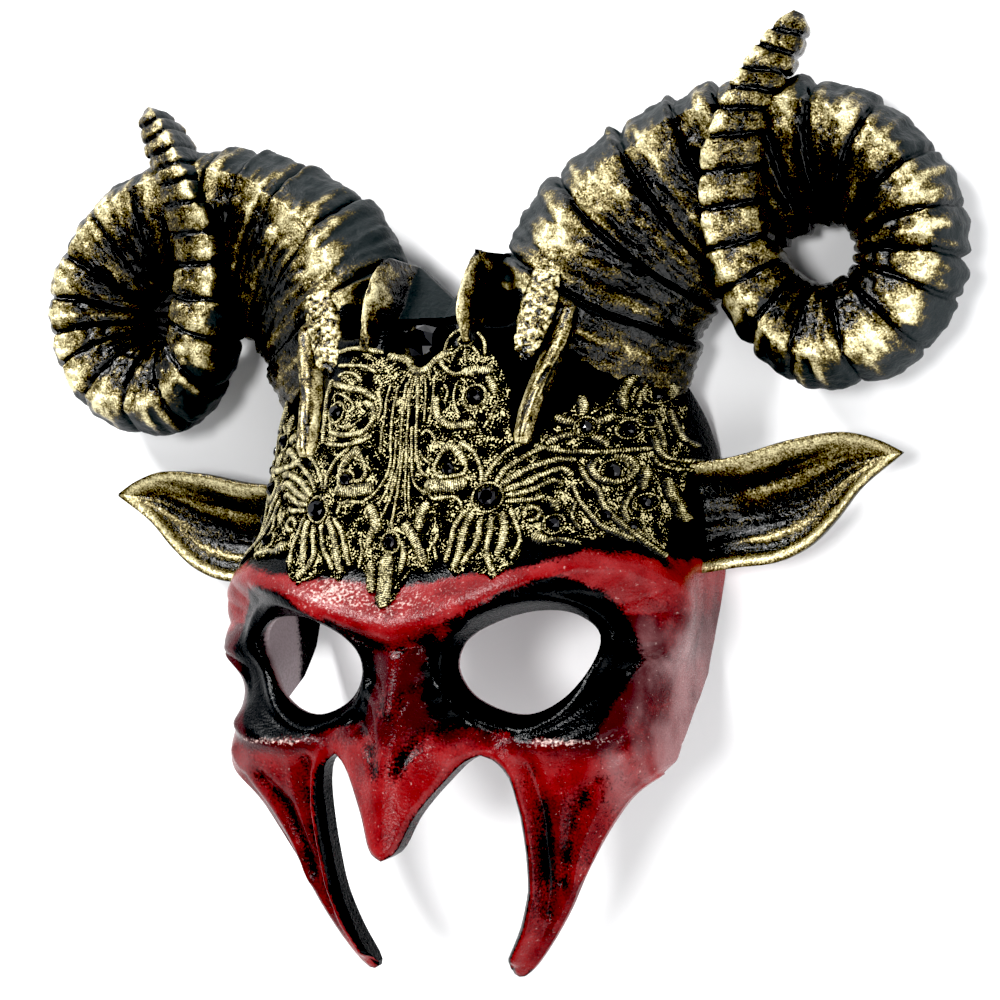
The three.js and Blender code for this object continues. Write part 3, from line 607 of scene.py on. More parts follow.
def blend(tree, share, first, second):
    """Mix of two colours, all of the second where the share is 1."""
    node = add(tree, "Mix", {0: share}, data_type="RGBA")
    for socket, value in ((node.inputs[6], first), (node.inputs[7], second)):
        if isinstance(value, bpy.types.NodeSocket):
            tree.links.new(value, socket)
        else:
            socket.default_value = (*value, 1)
    return node.outputs[2]


def grain(tree, size, detail):
    """Noise whose bumps are about size millimetres apart."""
    place = add(tree, "TexCoord").outputs["Object"]
    inputs = {"Vector": place, "Scale": 1 / (size * MM), "Detail": detail}
    return add(tree, "TexNoise", inputs).outputs[0]


def stored(tree, name):
    """A number that paint() has stored on the piece."""
    return add(tree, "Attribute", attribute_name=name).outputs["Fac"]


def finish_material(material, tree, colour, roughness, metallic, heights, specular):
    """Ends a material in a shader with stacked bumps: (height, distance in millimetres, strength)."""
    inputs = {"Base Color": colour, "Roughness": roughness, "Metallic": metallic,
              "Specular IOR Level": specular}
    for height, distance, strength in heights:
        bump = {"Height": height, "Distance": distance * MM, "Strength": strength}
        if "Normal" in inputs:
            bump["Normal"] = inputs["Normal"]
        inputs["Normal"] = add(tree, "Bump", bump).outputs[0]
    shader = add(tree, "BsdfPrincipled", inputs)
    add(tree, "OutputMaterial", {"Surface": shader.outputs[0]})
    return material


def new_material(name):
    """An empty material and its tree of nodes."""
    material = bpy.data.materials.new(name)
    material.use_nodes = True
    material.node_tree.nodes.clear()
    return material, material.node_tree


def red_paint():
    """Pebbled red paint with black sprayed into the hollows, dark red that is partly painted shade, a pink
    painted sheen on the temples, rubbed pink places with painted glints and a bare inner side.
    """
    material, tree = new_material("red_paint")
    speckle = grain(tree, 0.7, 4)
    patches = grain(tree, 9, 3)
    fibres = grain(tree, 0.9, 4)
    red = blend(tree, ramp(tree, patches, 0.3, 0.7), RED, BRIGHT_RED)
    # dark red from the stored value: painted shade on the nose bridge and lower cheeks, the paint's own
    # tone elsewhere
    shade = uneven(tree, stored(tree, "deep"), speckle, 1.6)
    red = blend(tree, ramp(tree, shade, -0.2, 1), red, DARK_RED_AND_SHADE)
    # painted sheen: the pink reflection of the bright surroundings on the temples
    pale = uneven(tree, stored(tree, "pale"), patches, 0.8)
    red = blend(tree, ramp(tree, pale, 0, 1.1), red, PAINTED_SHEEN_PINK)
    # rubbed pink dry-brush on the brow, and painted glints there and along the ledge under the eye
    rubbed = uneven(tree, stored(tree, "wear"), fibres, 2.2)
    red = blend(tree, ramp(tree, rubbed, 0.3, 0.9), red, RUB_AND_GLINT_PINK)
    red = blend(tree, stored(tree, "bare"), red, BARE_CAST)
    sprayed = uneven(tree, stored(tree, "soot"), speckle, 1.1)
    colour = blend(tree, ramp(tree, sprayed, 0.25, 0.7), red, SOOT_BLACK)
    roughness = calc(tree, "MULTIPLY_ADD", speckle, 0.3, 0.13)
    bumps = [(grain(tree, 0.7, 2), 0.2, 0.7), (grain(tree, 2.2, 2), 0.3, 0.4)]
    return finish_material(material, tree, colour, roughness, 0.0, bumps, specular=0.14)


def gilded_paint():
    """Glossy black paint with gold rubbed over its high places."""
    material, tree = new_material("gilded_paint")
    fine = grain(tree, 0.55, 4)
    coarse = grain(tree, 1.8, 3)
    flecks = calc(tree, "ADD", calc(tree, "MULTIPLY", fine, 0.7), calc(tree, "MULTIPLY", coarse, 0.3))
    level = uneven(tree, stored(tree, "gilt"), flecks, 2.3)
    gold_share = ramp(tree, level, 0.15, 0.62)
    gold = blend(tree, ramp(tree, level, 0.4, 1.3), DARK_GOLD, BRIGHT_GOLD)
    dull = stored(tree, "dull")
    black = blend(tree, dull, GLOSS_BLACK, SLATE)
    colour = blend(tree, gold_share, black, gold)
    black_rough = calc(tree, "MULTIPLY_ADD", dull, 0.45, 0.13)
    rough = add(tree, "Mix", {0: gold_share, 2: black_rough, 3: 0.3}).outputs[0]
    metal = calc(tree, "MULTIPLY", gold_share, 0.55)
    bumps = [(coarse, 0.6, 0.7), (fine, 0.22, 0.7)]
    return finish_material(material, tree, colour, rough, metal, bumps, specular=0.3)


def thread_material():
    """Gold embroidery thread over black: the stitches cross each cord and fray at its edges, and the cords
    on the right are darkened as painted shade.
    """
    material, tree = new_material("gold_thread")
    fine = grain(tree, 0.5, 3)
    patches = grain(tree, 3, 2)
    place = calc(tree, "MULTIPLY_ADD", fine, 0.8, stored(tree, "along"))
    stitch = calc(tree, "SINE", calc(tree, "MULTIPLY", place, 2 * math.pi / STITCH))
    worn = calc(tree, "MULTIPLY_ADD", fine, 2.2, -0.95)
    # less gold towards each cord's edge and, as painted shade, on the right of the lace
    cover = calc(tree, "MULTIPLY_ADD", calc(tree, "POWER", stored(tree, "edge"), 2), -0.55, worn)
    light = calc(tree, "ADD", calc(tree, "MULTIPLY_ADD", stitch, 0.26, 0.46), cover)
    light = calc(tree, "ADD", light, calc(tree, "MULTIPLY_ADD", patches, 1.1, -0.58))
    gold = blend(tree, ramp(tree, light, 0.45, 1.0), DARK_THREAD, BRIGHT_THREAD)
    colour = blend(tree, ramp(tree, light, 0.28, 0.5), THREAD_GAP, gold)
    return finish_material(material, tree, colour, 0.38, 0.0, [(light, 0.25, 0.8)], specular=0.3)


def net_material():
    """Black net under the cords, with the ends of gold threads in places."""
    material, tree = new_material("black_net")
    fine = grain(tree, 0.55, 4)
    patches = grain(tree, 4, 2)
    level = uneven(tree, fine, patches, 0.6)
    colour = blend(tree, ramp(tree, level, 0.575, 0.64), NET_BLACK, NET_THREAD)
    return finish_material(material, tree, colour, 0.7, 0.0, [(fine, 0.3, 0.8)], specular=0.05)


def stone_material():
    """Polished black glass stone."""
    material, tree = new_material("black_stone")
    colour = blend(tree, grain(tree, 3, 2), STONE_BLACK, STONE_GREY)
    return finish_material(material, tree, colour, 0.06, 0.0, [], specular=0.4)


def floor_material():
    """Matt white table."""
    material, tree = new_material("floor")
    colour = blend(tree, grain(tree, 400, 2), FLOOR_GREY, FLOOR_WHITE)
    return finish_material(material, tree, colour, 0.7, 0.0, [], specular=0.25)


# Face

def relief(x, y, wall):
    """How far the skin stands off the plain shell at a place of the front view."""
    side = np.abs(x)
    brow, brow_along, brow_side = nearest(BROW, np.hypot(side, 9) - 4, y)
    brow_height = 7 + 3 * bell(brow_along - 0.85, 0.15)
    rise = brow_height * bell(brow, np.where(brow_side > 0, 8, 5.5))
    socket = np.hypot((side - SOCKET[0]) / SOCKET_SIZE[0], (y - SOCKET[1]) / SOCKET_SIZE[1])
    socket_depth = 4 + 5 * smoothstep(y, -60, -34)
    rise -= socket_depth * (1 - smoothstep(socket, 0.55, 1.15)) * (1 - bell(brow, 5))
    rise += 2.5 * bell(nearest(CHEEK_ROLL, side, y)[0], 5)
    rise += 2 * bell(np.hypot(side - 24, y - 4), 17) - 1.5 * bell(side, 6) * bell(y - 14, 20)
    rise -= 2.5 * bell(np.hypot(side - 70, y + 12), 12)
    rise -= gem_dip(x, y)
    rounding = straight(BRIDGE_ROUND, y)
    off_ridge = np.hypot(side, rounding) - 0.42 * rounding
    if wall > 0:
        off_ridge = soft_positive(side + 0.6 * wall, 3)
    flank = profile(NOSE_SLOPE, y) * off_ridge + 20 * (off_ridge / profile(NOSE_REACH, y)) ** 4
    nose = profile(NOSE_RIDGE, y) - flank
    nose_rise = smoothstep(-y, 28, 38) * soft_positive(nose - profile(DEPTH, y) - 0.3 * wall, 4)
    if wall > 0:
        return np.minimum(rise, INNER_RELIEF * rise) + INNER_NOSE * nose_rise
    return rise + nose_rise


def gem_dip(x, y):
    """Depth of the hollow that the large stone lies in."""
    return GEM_RECESS * bell(np.hypot(x, y - 47.5) ** 2, 95)


def fine_relief(x, y):
    """Folds, rolled edges and rounded rims of the outside."""
    side = np.abs(x)
    rise = 0.0
    off_ridge = np.maximum(smoothstep(side, 1, 6), smoothstep(y, -48, -42))
    for path, height, width in FINE_LINES:
        fold = bell(nearest(path, side, y)[0], FOLD_WIDTH * width)
        rise = rise + FOLD_HEIGHT * height * off_ridge * fold
    roll, roll_along, roll_side = nearest(EDGE_ROLL, side, y)
    rise += 5.5 * smoothstep(roll_along, 0.05, 0.4) * bell(roll, np.where(roll_side > 0, 2.6, 3.6))
    eye = -depth_inside(EYE_LINE, side, y)
    rise += 1.5 * bell(eye - 3.4, 1.7) - 2.2 * (1 - smoothstep(eye, -1, 2.6))
    rim = -depth_inside(CHIN_GAPS, side, y)
    rise -= 1.6 * (1 - smoothstep(rim, -0.5, 1.8))
    rise -= 9 * bell(nearest(SIDE_VALLEY, side, y)[0], 4.5) * smoothstep(y, 49, 54)
    return rise


def face_point(angle, y, wall):
    """A place on the skin: angle runs from -90 degrees at one temple over the front to 90 at the other."""
    a = profile(HALF_WIDTH, y) - wall
    c = profile(DEPTH, y) - wall
    n = profile(SQUARENESS, y)
    sin, cos = np.sin(angle), np.abs(np.cos(angle))
    radius = ((cos / c) ** n + (np.abs(sin) / a) ** n) ** (-1 / n)
    x, z = radius * sin, radius * cos
    out_x = np.sign(x) * np.abs(x / a) ** (n - 1) / a
    out_z = np.abs(z / c) ** (n - 1) / c
    length = np.hypot(out_x, out_z)
    rise = relief(x, y, wall)
    if wall == 0:
        rise = rise + fine_relief(x, y)
    rise = rise * smoothstep(z, 0.25 * c, 0.7 * c)
    return np.stack([x + rise * out_x / length, y + 0 * x, z + rise * out_z / length], axis=-1)


def face_block(wall, rows, columns, top):
    """The full block behind the skin, or with a wall the block of air behind it."""
    turn = np.linspace(1, -1, columns + 1)
    turn = math.pi / 2 * (0.8 * turn + 0.2 * turn ** 3)
    angle, y = np.meshgrid(turn, np.linspace(CHIN_Y - wall, top, rows))
    rings = face_point(angle, y, wall)
    if wall > 0:
        corners = rings[:, [-1, 0]]
        corners[..., 2] = -wall
        rings = np.concatenate([rings, corners], axis=1)
    return ring_mesh(rings)


EYE_LINE = curve_through(EYE, 60, closed=True).tolist()
NOSE_LINE = curve_through(NOSE_EDGE, 20).tolist()
FANG_LINE = curve_through(FANG_INNER, 40).tolist()
OUTER_LINE = curve_through(FANG_OUTER, 52).tolist()
CHIN_GAPS = NOSE_LINE + FANG_LINE[1:] + OUTER_LINE + [(80, -160), (-20, -160), (-20, -97.6)]


def make_face(material):
    """The shell: a block cut to outline and rear edge, hollowed, with eye holes and the crest's valley."""
    points, faces = face_block(0, SKIN_ROWS, SKIN_COLUMNS, CROWN_Y)
    face = make_piece("face_shell", points, faces, material, "mask")
    right = NOSE_LINE + FANG_LINE[1:] + OUTER_LINE + [(82, -70), (160, -60), (160, 100)]
    outline = right + mirrored(right)[:-1]
    combine(face, "INTERSECT", *prism(outline, lambda x, y: -10, lambda x, y: FAR))
    top = CROWN_Y + 5
    rear = REAR_EDGE + [(top, 20), (top, FAR), (-144, FAR)]
    side, faces = prism(rear, lambda x, y: -100, lambda x, y: 100)
    combine(face, "INTERSECT", side[:, [2, 0, 1]], faces)
    cut_by_hollow(face)
    for outline in (EYE_LINE, mirrored(EYE_LINE)):
        combine(face, "DIFFERENCE", *prism(outline, lambda x, y: 20, lambda x, y: FAR))
    half = VALLEY_HALF
    valley = [(-half, VALLEY_START), (half, VALLEY_START), (half, top), (-half, top)]
    combine(face, "DIFFERENCE", *prism(valley, lambda x, y: VALLEY_FLOOR, lambda x, y: FAR))
    paint_face(face)


def paint_face(face):
    """Stores where the shell is black, dark red with painted shade, pink with a painted sheen, rubbed pink
    with painted glints, and bare.
    """
    places = read(face.data, "co") / MM - (0, MIDDLE_Y, 0)
    normal = read(face.data, "normal")
    x, y, z = places.T
    side = np.abs(x)
    cloud = noise(places, 5, 2) - 0.5
    streak = noise(places, (2.2, 14, 14), 3) - 0.5
    round_eye = depth_inside(SOCKET_PAINT, side, y)
    above_foot = y - straight(LACE_FOOT, side)
    middle = bell(x + 3, 24)
    cheek = smoothstep(-y, 66, 76) * smoothstep(side, 27, 34)

    # black round the eyes, at the lace, in the sunk lines and on the inner flange of the cheek points
    soot = smoothstep(round_eye + 2.5 * cloud, -2.6, 2.2)
    soot = np.maximum(soot, smoothstep(above_foot + 3 * cloud, -1.5, 4.5))
    for path, height, width in FINE_LINES:
        if height < 0:
            line = bell(nearest(path, side, y)[0] + 3 * cloud, 1.7 * width)
            soot = np.maximum(soot, -0.3 * height * line * (1 + 2 * cloud))
    soot = np.maximum(soot, 1.1 * cheek * (streak + 0.06))
    inward = normal[:, 0] * np.sign(-x)
    flange = smoothstep(inward, 0.3, 0.6) * (side > 15) * (side < 36) * (y < -72)
    soot = np.maximum(soot, 1.2 * flange)
    soot -= 0.8 * middle * bell(above_foot + 1.5, 4)

    # dark red: painted shade on the nose bridge under the brow and on the lower cheeks, the paint's own
    # darker tone on the temples and along the black
    bridge = bell(side - 3, 9) * smoothstep(y, -84, -56) * smoothstep(-y, 38, 43)
    deep = 0.75 * bridge + 0.4 * cheek * smoothstep(-y, 68, 90) + 0.9 * cloud
    deep += 0.7 * smoothstep(side, 46, 56) * smoothstep(-y, 26, 40) * (1 - cheek)
    deep += 0.8 * (1 - smoothstep(np.abs(round_eye), 1, 7)) * (y < -34)

    # painted sheen: a pink reflection on the temples, more on the right one, and on the outer cheek
    # corners; rubbed pink on the brow with painted glints, and a painted glint along the ledge under the
    # eye
    temple = np.where(x > 0, 1, 0.3) * smoothstep(side, 60, 70) * smoothstep(-y, 24, 54)
    corner = bell(side - 60, 6) * smoothstep(-y, 66, 74) * smoothstep(y, -98, -84)
    pale = np.maximum(temple * (0.65 + 1.8 * streak), 0.5 * corner)
    wear = 0.34 * middle * bell(above_foot + 3, 3.5) + 0.45 * bell(x + 20, 9) * bell(y + 23, 5)
    # painted glint: a pale line along the ledge under each eye
    wear = np.maximum(wear, 0.66 * bell(side - 46, 12) * bell(y + 66.8, 1.6))

    # bare inside, black near the rear edge, and thin black rims at the mouth
    outward = np.column_stack([x, z - 10]) / np.maximum(np.hypot(x, z - 10), 1)[:, None]
    bare = smoothstep(-np.sum(normal[:, [0, 2]] * outward, axis=1), 0.1, 0.4) * smoothstep(y, -70, -62)
    soot = np.maximum(soot * (1 - bare), 0.9 * bare * smoothstep(-z, -24, -18))
    rim = np.abs(depth_inside(CHIN_GAPS, side, y))
    soot = np.maximum(soot, 0.7 * bell(rim, 0.6) * (y < -60) * (side < 28))
    paint(face, soot=soot, wear=wear, bare=bare, deep=deep, pale=pale)


def cut_by_hollow(piece):
    """Keeps the inside of the mask free of what stands on its outside."""
    combine(piece, "DIFFERENCE", *face_block(WALL, INNER_ROWS, INNER_COLUMNS, HOLLOW_Y))


# Horns

def horn_stations():
    """Stations of the whole horn: root, coil and free strand."""
    coil = []
    start, end = COIL_ANGLES[0], COIL_ANGLES[-1]
    for angle in COIL_ANGLES:
        turn = math.radians(angle)
        late = (start - angle) / (start - end)
        way = np.array([math.cos(turn), math.sin(turn)])
        ridge = (*(COIL + float(profile(COIL_RIDGE, angle)) * way), 36 + late)
        inner = (*(COIL + COIL_HOLE * way), 17 + 8 * late)
        coil.append((ridge, inner, 6 * smoothstep(-angle, 80, 130), 8.5 - 5 * late * (1 - late)))
    return ROOT_STATIONS + coil + STRAND_STATIONS


def horn_lines():
    """The ridge and inner lines at even steps of the ridge, with the back, the bulge and the length."""
    stations = horn_stations()
    last = len(stations) - 1
    share = np.linspace(0, 1, 4001)
    i = np.minimum((share * last).astype(int), last - 1) + 1
    lines = []
    for k in range(2):
        keys = open_keys([station[k] for station in stations])
        knots = knots_of(keys)
        within = (share * last - (i - 1))[:, None]
        lines.append(on_curve(keys, knots, i, knots[i] + within * (knots[i + 1] - knots[i])))
    at = length_along(lines[0])
    wanted = np.linspace(0, at[-1], HORN_RINGS)
    ridge, inner = (points_along(line, at, wanted) for line in lines)
    place = np.interp(wanted, at, share) * last
    back, bulge = (profile([(j, station[k]) for j, station in enumerate(stations)], place) for k in (2, 3))
    return ridge, inner, np.maximum(back, 0), bulge, wanted


def horn_sections(ridge, inner, back, bulge):
    """Dense rings of the horn, with each point's share from inner side to ridge and its role.

    The role counts the corners of the section: 0 is the ridge, 4 the inner side, 6 to 8 the flat back and
    9 to 12 the outer wall.
    """
    across = (ridge - inner) * (1, 1, 0)
    width = np.linalg.norm(across, axis=1)
    across /= width[:, None]
    drop = ridge[:, 2] - inner[:, 2]
    inner_tall = np.minimum(ridge[:, 2], inner[:, 2]) - back
    outer_tall = ridge[:, 2] - back
    corners = [
        (width, ridge[:, 2]), (0.93 * width, ridge[:, 2] - 0.01 * drop),
        (0.6 * width, ridge[:, 2] - 0.1 * drop), (0.24 * width, ridge[:, 2] - 0.46 * drop),
        (0 * width, inner[:, 2] - 0.08 * inner_tall),
        (0.04 * width, back + 0.4 * inner_tall), (0.2 * width, back), (0.5 * width, back),
        (width - 0.35 * bulge, back), (width + 0.5 * bulge, back + 0.22 * outer_tall),
        (width + bulge, back + 0.6 * outer_tall), (width + 0.6 * bulge, back + 0.86 * outer_tall),
        (width + 0.12 * bulge, back + 0.985 * outer_tall),
    ]
    keys = np.array(corners).transpose(2, 0, 1)
    ring, role = [], []
    for k, count in enumerate(SECTION_STEPS):
        p0, p1, p2, p3 = (keys[:, (k + i) % len(keys[0])] for i in (-1, 0, 1, 2))
        for t in np.arange(count) / count:
            ring.append(0.5 * (2 * p1 + (p2 - p0) * t + (2 * p0 - 5 * p1 + 4 * p2 - p3) * t * t
                               + (3 * p1 - p0 - 3 * p2 + p3) * t ** 3))
            role.append(k + t)
    ring = np.array(ring).transpose(1, 0, 2)
    z = np.maximum(ring[..., 1], back[:, None])
    rings = inner[:, None, :2] + across[:, None, :2] * ring[..., :1]
    return np.concatenate([rings, z[..., None]], axis=-1), ring[..., 0] / width[:, None], np.array(role)


def horn_marks(rings, share, role, at):
    """What the horn's relief and its paint both follow."""
    rows = at[:, None] + 0 * share
    length = at[-1]
    edges = np.array([0, *GROOVES, length])
    wobble = 1.6 * (noise(rings, 7, 2) - 0.5)
    chevron = rows + wobble + 2.5 * np.sin(np.clip(share, 0, 1) * math.pi) * (1 - rows / length)
    plate = np.searchsorted(edges, chevron).clip(1, len(edges) - 1)
    start, end = edges[plate - 1], edges[plate]
    size = np.interp(at, [0, 0.5 * length, length], [1, 0.85, 0.45])[:, None]
    from_groove = np.abs(chevron[..., None] - edges[1:-1]).min(axis=-1)
    from_ridge = np.minimum(role, len(SECTION_STEPS) - role)[None, :]
    flat = np.stack([rows, share * 30 + 1.5 * from_ridge, 0 * rows], axis=-1)
    return SimpleNamespace(
        size=size,
        within=np.clip((chevron - start) / (end - start), 0, 1),
        groove=bell(from_groove, 0.45 + 0.5 * size),
        root=1 - smoothstep(rows, 130, 170),
        strand=smoothstep(rows, 255, 275),
        tip=smoothstep(length - rows, 0, 6),
        outer=smoothstep(role, 7.9, 9.5) * (1 - smoothstep(role, 11.6, 13)),
        pits=noise(rings, 2.3, 3) - 0.5,
        streaks=noise(flat, (2.6, 14, 1), 3) - 0.5,
    )


def horn_surface(rings, role, marks):
    """The horn's rings with grooves, swelling plates, pits and streaks, and with a flat back."""
    size, root = marks.size, marks.root
    height = -1.7 * size * marks.groove
    height += 0.9 * size * (1 - root) * np.sin(math.pi * marks.within) ** 0.7
    height += 2 * size * root * (marks.within ** 1.5 - 0.4)
    height += marks.outer * size * (2.4 * marks.streaks + 1.8 * (noise(rings, 4, 2) - 0.5))
    height += (1 - marks.outer) * 2.4 * size * marks.pits
    height += 0.6 * (noise(rings, 12, 1) - 0.5)
    points = rings + outward_of(rings) * (height * marks.tip)[..., None]
    flat_back = ((role > 5.9) & (role < 8.1))[None, :]
    above_back = np.maximum(points[..., 2], np.minimum(rings[..., 2], 0.2))
    points[..., 2] = np.where(flat_back, rings[..., 2], above_back)
    return points


def horn_paint(share, role, marks):
    """Gold on the horn's front, most at the ridge, and the share of dull slate on its outer wall."""
    streaks, strand, root = marks.streaks, marks.strand, marks.root
    grey = smoothstep(role, 7.9, 9.5) * (1 - smoothstep(role + 2.6 * streaks, 10.4, 12.7))
    edge = smoothstep(share, 0.48 + 0.14 * root, 1)
    gilt = (1 - grey) * (0.72 * edge * (1 - 0.2 * root) + 0.02)
    gilt = np.maximum(gilt, 0.3 * strand * (1 - marks.outer))
    gilt += 0.3 * (1 - grey) * (np.sin(math.pi * marks.within) - 0.5)
    gilt += 0.9 * marks.pits + 0.9 * (1 - strand) * streaks - 0.9 * marks.groove - 0.35 * grey
    gilt += grey * bell(role - 12.4, 1.4) * (0.5 + 1.4 * streaks)
    rear = smoothstep(role, 3.6, 5) * (1 - smoothstep(role, 7.9, 9.5))
    return gilt * (1 - rear * (1 - 0.6 * strand)), grey


def make_horn(name, flip, material):
    """A horn that curls once round its hole and ends in a free strand."""
    ridge, inner, back, bulge, at = horn_lines()
    rings, share, role = horn_sections(ridge, inner, back, bulge)
    marks = horn_marks(rings, share, role, at)
    points = horn_surface(rings, role, marks)
    gilt, grey = horn_paint(share, role, marks)
    make_gilded(name, flip, points, material, gilt, grey)


# Ears, ribs and crest

def make_ear(name, flip, material):
    """A pointed ear, hollow in front, with a rolled lip and veins."""
    steps, across = 110, 44
    top = curve_through(EAR_TOP, steps)
    bottom = curve_through(EAR_BOTTOM, steps)
    share = np.minimum(np.linspace(0, 1, steps), 0.992)[:, None]
    j = np.linspace(0, 1, across)[None, :]
    taper = np.sqrt(1 - share)
    rim = EAR_RIM_Z + 2 * share
    wall = EAR_WALL * (0.45 + 0.55 * taper)
    depth = EAR_HOLLOW * taper * np.minimum(1, 3 * (share + 0.12))
    arch = np.sin(math.pi * j)
    bowl = depth * arch ** 1.1
    place = bottom[:, None] * (1 - j[..., None]) + top[:, None] * j[..., None]
    flat = np.stack([share * 70 + 0 * j, j * 40 + 0 * share, 0 * share * j], axis=-1)
    veins = noise(flat, (26, 3.2, 1), 3)
    edge = np.minimum(j, 1 - j) * np.linalg.norm(top - bottom, axis=1)[:, None]
    lip = bell(edge - 1.8, 1.7)
    inside = smoothstep(edge, 2, 5)
    front_z = rim - bowl + 1.2 * lip * taper + inside * 2.6 * taper * (veins - 0.5)
    rear_z = rim - wall - bowl - 1.5 * taper * arch
    front = np.concatenate([place, front_z[..., None]], axis=-1)
    rear = np.concatenate([place, rear_z[..., None]], axis=-1)[:, ::-1]
    gilt = 0.9 * lip + inside * (0.12 + 1.7 * (veins - 0.42)) * smoothstep(share, 0.02, 0.3)
    gilt = np.concatenate([gilt, np.full_like(gilt, 0.25)], axis=1)
    dull = np.concatenate([np.full_like(veins, 0.1), np.full_like(veins, 1)], axis=1)
    make_gilded(name, flip, np.concatenate([front, rear], axis=1), material, gilt, dull)


def on_skin(x, y):
    """The skin over places of the front view, with its outward directions."""
    x, y = np.asarray(x, float), np.asarray(y, float)
    n = profile(SQUARENESS, y)
    half = profile(HALF_WIDTH, y)
    share = np.minimum(np.abs(x) / half, 0.99)
    angle = np.sign(x) * np.arctan2(share * half, profile(DEPTH, y) * (1 - share ** n) ** (1 / n))
    turn = 0.5 / profile(DEPTH, y)
    across = face_point(angle + turn, y, 0) - face_point(angle - turn, y, 0)
    up = face_point(angle, y + 0.5, 0) - face_point(angle, y - 0.5, 0)
    normal = np.cross(across, up)
    return face_point(angle, y, 0), normal / np.linalg.norm(normal, axis=-1, keepdims=True)


def beside(line):
    """Directions of the front view square to a line."""
    along = np.gradient(line, axis=0)
    side = np.column_stack([-along[:, 1], along[:, 0], 0 * along[:, 0]])
    return side / np.linalg.norm(side, axis=1, keepdims=True)


def make_rib(name, flip, material):
    """A rounded bar along the skin from the horn's root down the forehead."""
    steps = np.arange(90)
    line = curve_through(HORN_RIB, len(steps))
    place, normal = on_skin(*line.T)
    turn = np.linspace(0, 2 * math.pi, 36, endpoint=False)
    size = np.interp(steps, [0, 6, 30, 84, 89], [0.9, 1.25, 1.3, 1.15, 0.8])[:, None]
    x, y = (axis[:, None] + 0 * turn for axis in place[:, :2].T)
    bark = np.stack([x, y + 9 * np.sin(turn), 9 * np.cos(turn) + 0 * x], axis=-1)
    rough = noise(bark, (1.6, 7, 1.6), 3) - 0.5
    reach = size * (1 + 0.25 * rough)
    wide = 2.9 * np.sign(np.cos(turn)) * np.abs(np.cos(turn)) ** 0.9 * reach
    tall = 3.7 * np.sin(turn) * reach
    rings = place[:, None] + beside(line)[:, None] * wide[..., None] + normal[:, None] * tall[..., None]
    more_below = np.interp(steps, [0, 50, 80], [0.7, 0.9, 1.2])[:, None]
    gilt = 0.5 * smoothstep(np.sin(turn - 0.3), 0, 0.9) * more_below + 2 * rough
    make_gilded(name, flip, rings, material, gilt, 0 * gilt)


def make_root_plate(name, flip, material):
    """The lowest plate of the horn, whose rounded end lies on the forehead."""
    steps, across = 90, 60
    share = np.linspace(0, 1, steps)
    line = curve_through(ROOT_PLATE, steps)
    place, normal = on_skin(*line.T)
    place[:, 2] += smoothstep(share, 0.35, 1) * (ROOT_PLATE_TOP - place[-1, 2])
    half = np.interp(share, [0, 0.25, 0.6, 1], [2.6, 5, 5.8, 4.6])
    half = (half * np.sqrt(np.clip(1 - (1 - share / 0.15).clip(0) ** 2, 0.04, 1)))[:, None]
    turn = np.linspace(0, 2 * math.pi, across, endpoint=False)
    flat = np.sign(np.sin(turn)) * np.abs(np.sin(turn)) ** 0.7
    rings = place[:, None] + beside(line)[:, None] * (half * np.cos(turn))[..., None]
    rings += normal[:, None] * (0.45 * half * flat)[..., None]
    rough = noise(rings, 1.2, 3) - 0.5
    rings += normal[:, None] * (rough * (flat > 0))[..., None]
    gilt = 0.62 * smoothstep(np.sin(turn), 0, 0.6) * smoothstep(share, 0, 0.2)[:, None] + 2.2 * rough
    make_gilded(name, flip, rings, material, gilt, 0 * gilt)


def make_crest(material):
    """Two fins with the valley between them, as a slab with a dense top."""
    reach = FIN_TOP[-1][0]
    x = np.linspace(-reach, reach, 340)
    side = np.abs(x)
    top = straight(FIN_TOP, side)
    share = np.linspace(0, 1, 130)[:, None]
    y = FIN_START + (top - FIN_START) * share
    ridge_x = 15.3 + 1.2 * smoothstep(-y, -56, -46)
    away = side - ridge_x
    steep = np.where(away < 0, straight(FIN_INNER_FALL, y), straight(FIN_OUTER_FALL, y))
    front = profile(FIN_FRONT, y) - 3.5 * np.clip((share - 0.87) / 0.13, 0, 1) ** 2
    fin = front - steep * soft_positive(np.abs(away) - 1.3, 0.7)
    skin = profile(DEPTH, y) * (1 - (side / profile(HALF_WIDTH, y)) ** 2.1) ** (1 / 2.1) - gem_dip(x, y)
    valley = 33.5 + 0.69 * side + 1.1 * (FIN_TOP[0][1] - np.maximum(y, 55))
    valley = valley - 8 * smoothstep(-y, -55.5, -53.5) + 26 * smoothstep(-y, -51, -46)
    inner = np.minimum(valley, np.minimum(skin - 1.2, front - 1.5))
    outer = skin - 1.2 - 12 * smoothstep(y, 46, 56) * bell(side - 22.5, 5)
    z = np.maximum(fin, np.where(away < 0, inner, outer))
    grid = np.stack([x + 0 * share, y, z], axis=-1)
    rough = noise(grid, (1.3, 4, 5), 3) - 0.5
    on_fin = bell(soft_positive(np.abs(away) - 1, 0.3), 1.2)
    grid[..., 2] += (0.3 + 2 * on_fin) * rough
    low = grid - (0, 0, PLATE)
    low[..., 2] += smoothstep(side, 15.6, 17) * (FIN_FOOT - low[..., 2])
    points, faces = slab_mesh(grid, low)
    crest = make_piece("crest", points, faces, material, "mask")
    plate = (away < 0) * smoothstep(y, 54, 56) * (z > fin + 0.5) * (1 - on_fin)
    gilt = 0.75 * on_fin * smoothstep(top - y, 0.5, 4) + 2 * rough - 0.12 - 0.8 * plate
    low_part = np.zeros_like(gilt)
    paint(crest, gilt=np.concatenate([gilt, low_part]), dull=np.concatenate([1.3 * plate, low_part + 1]))
    cut_by_hollow(crest)


# Lace

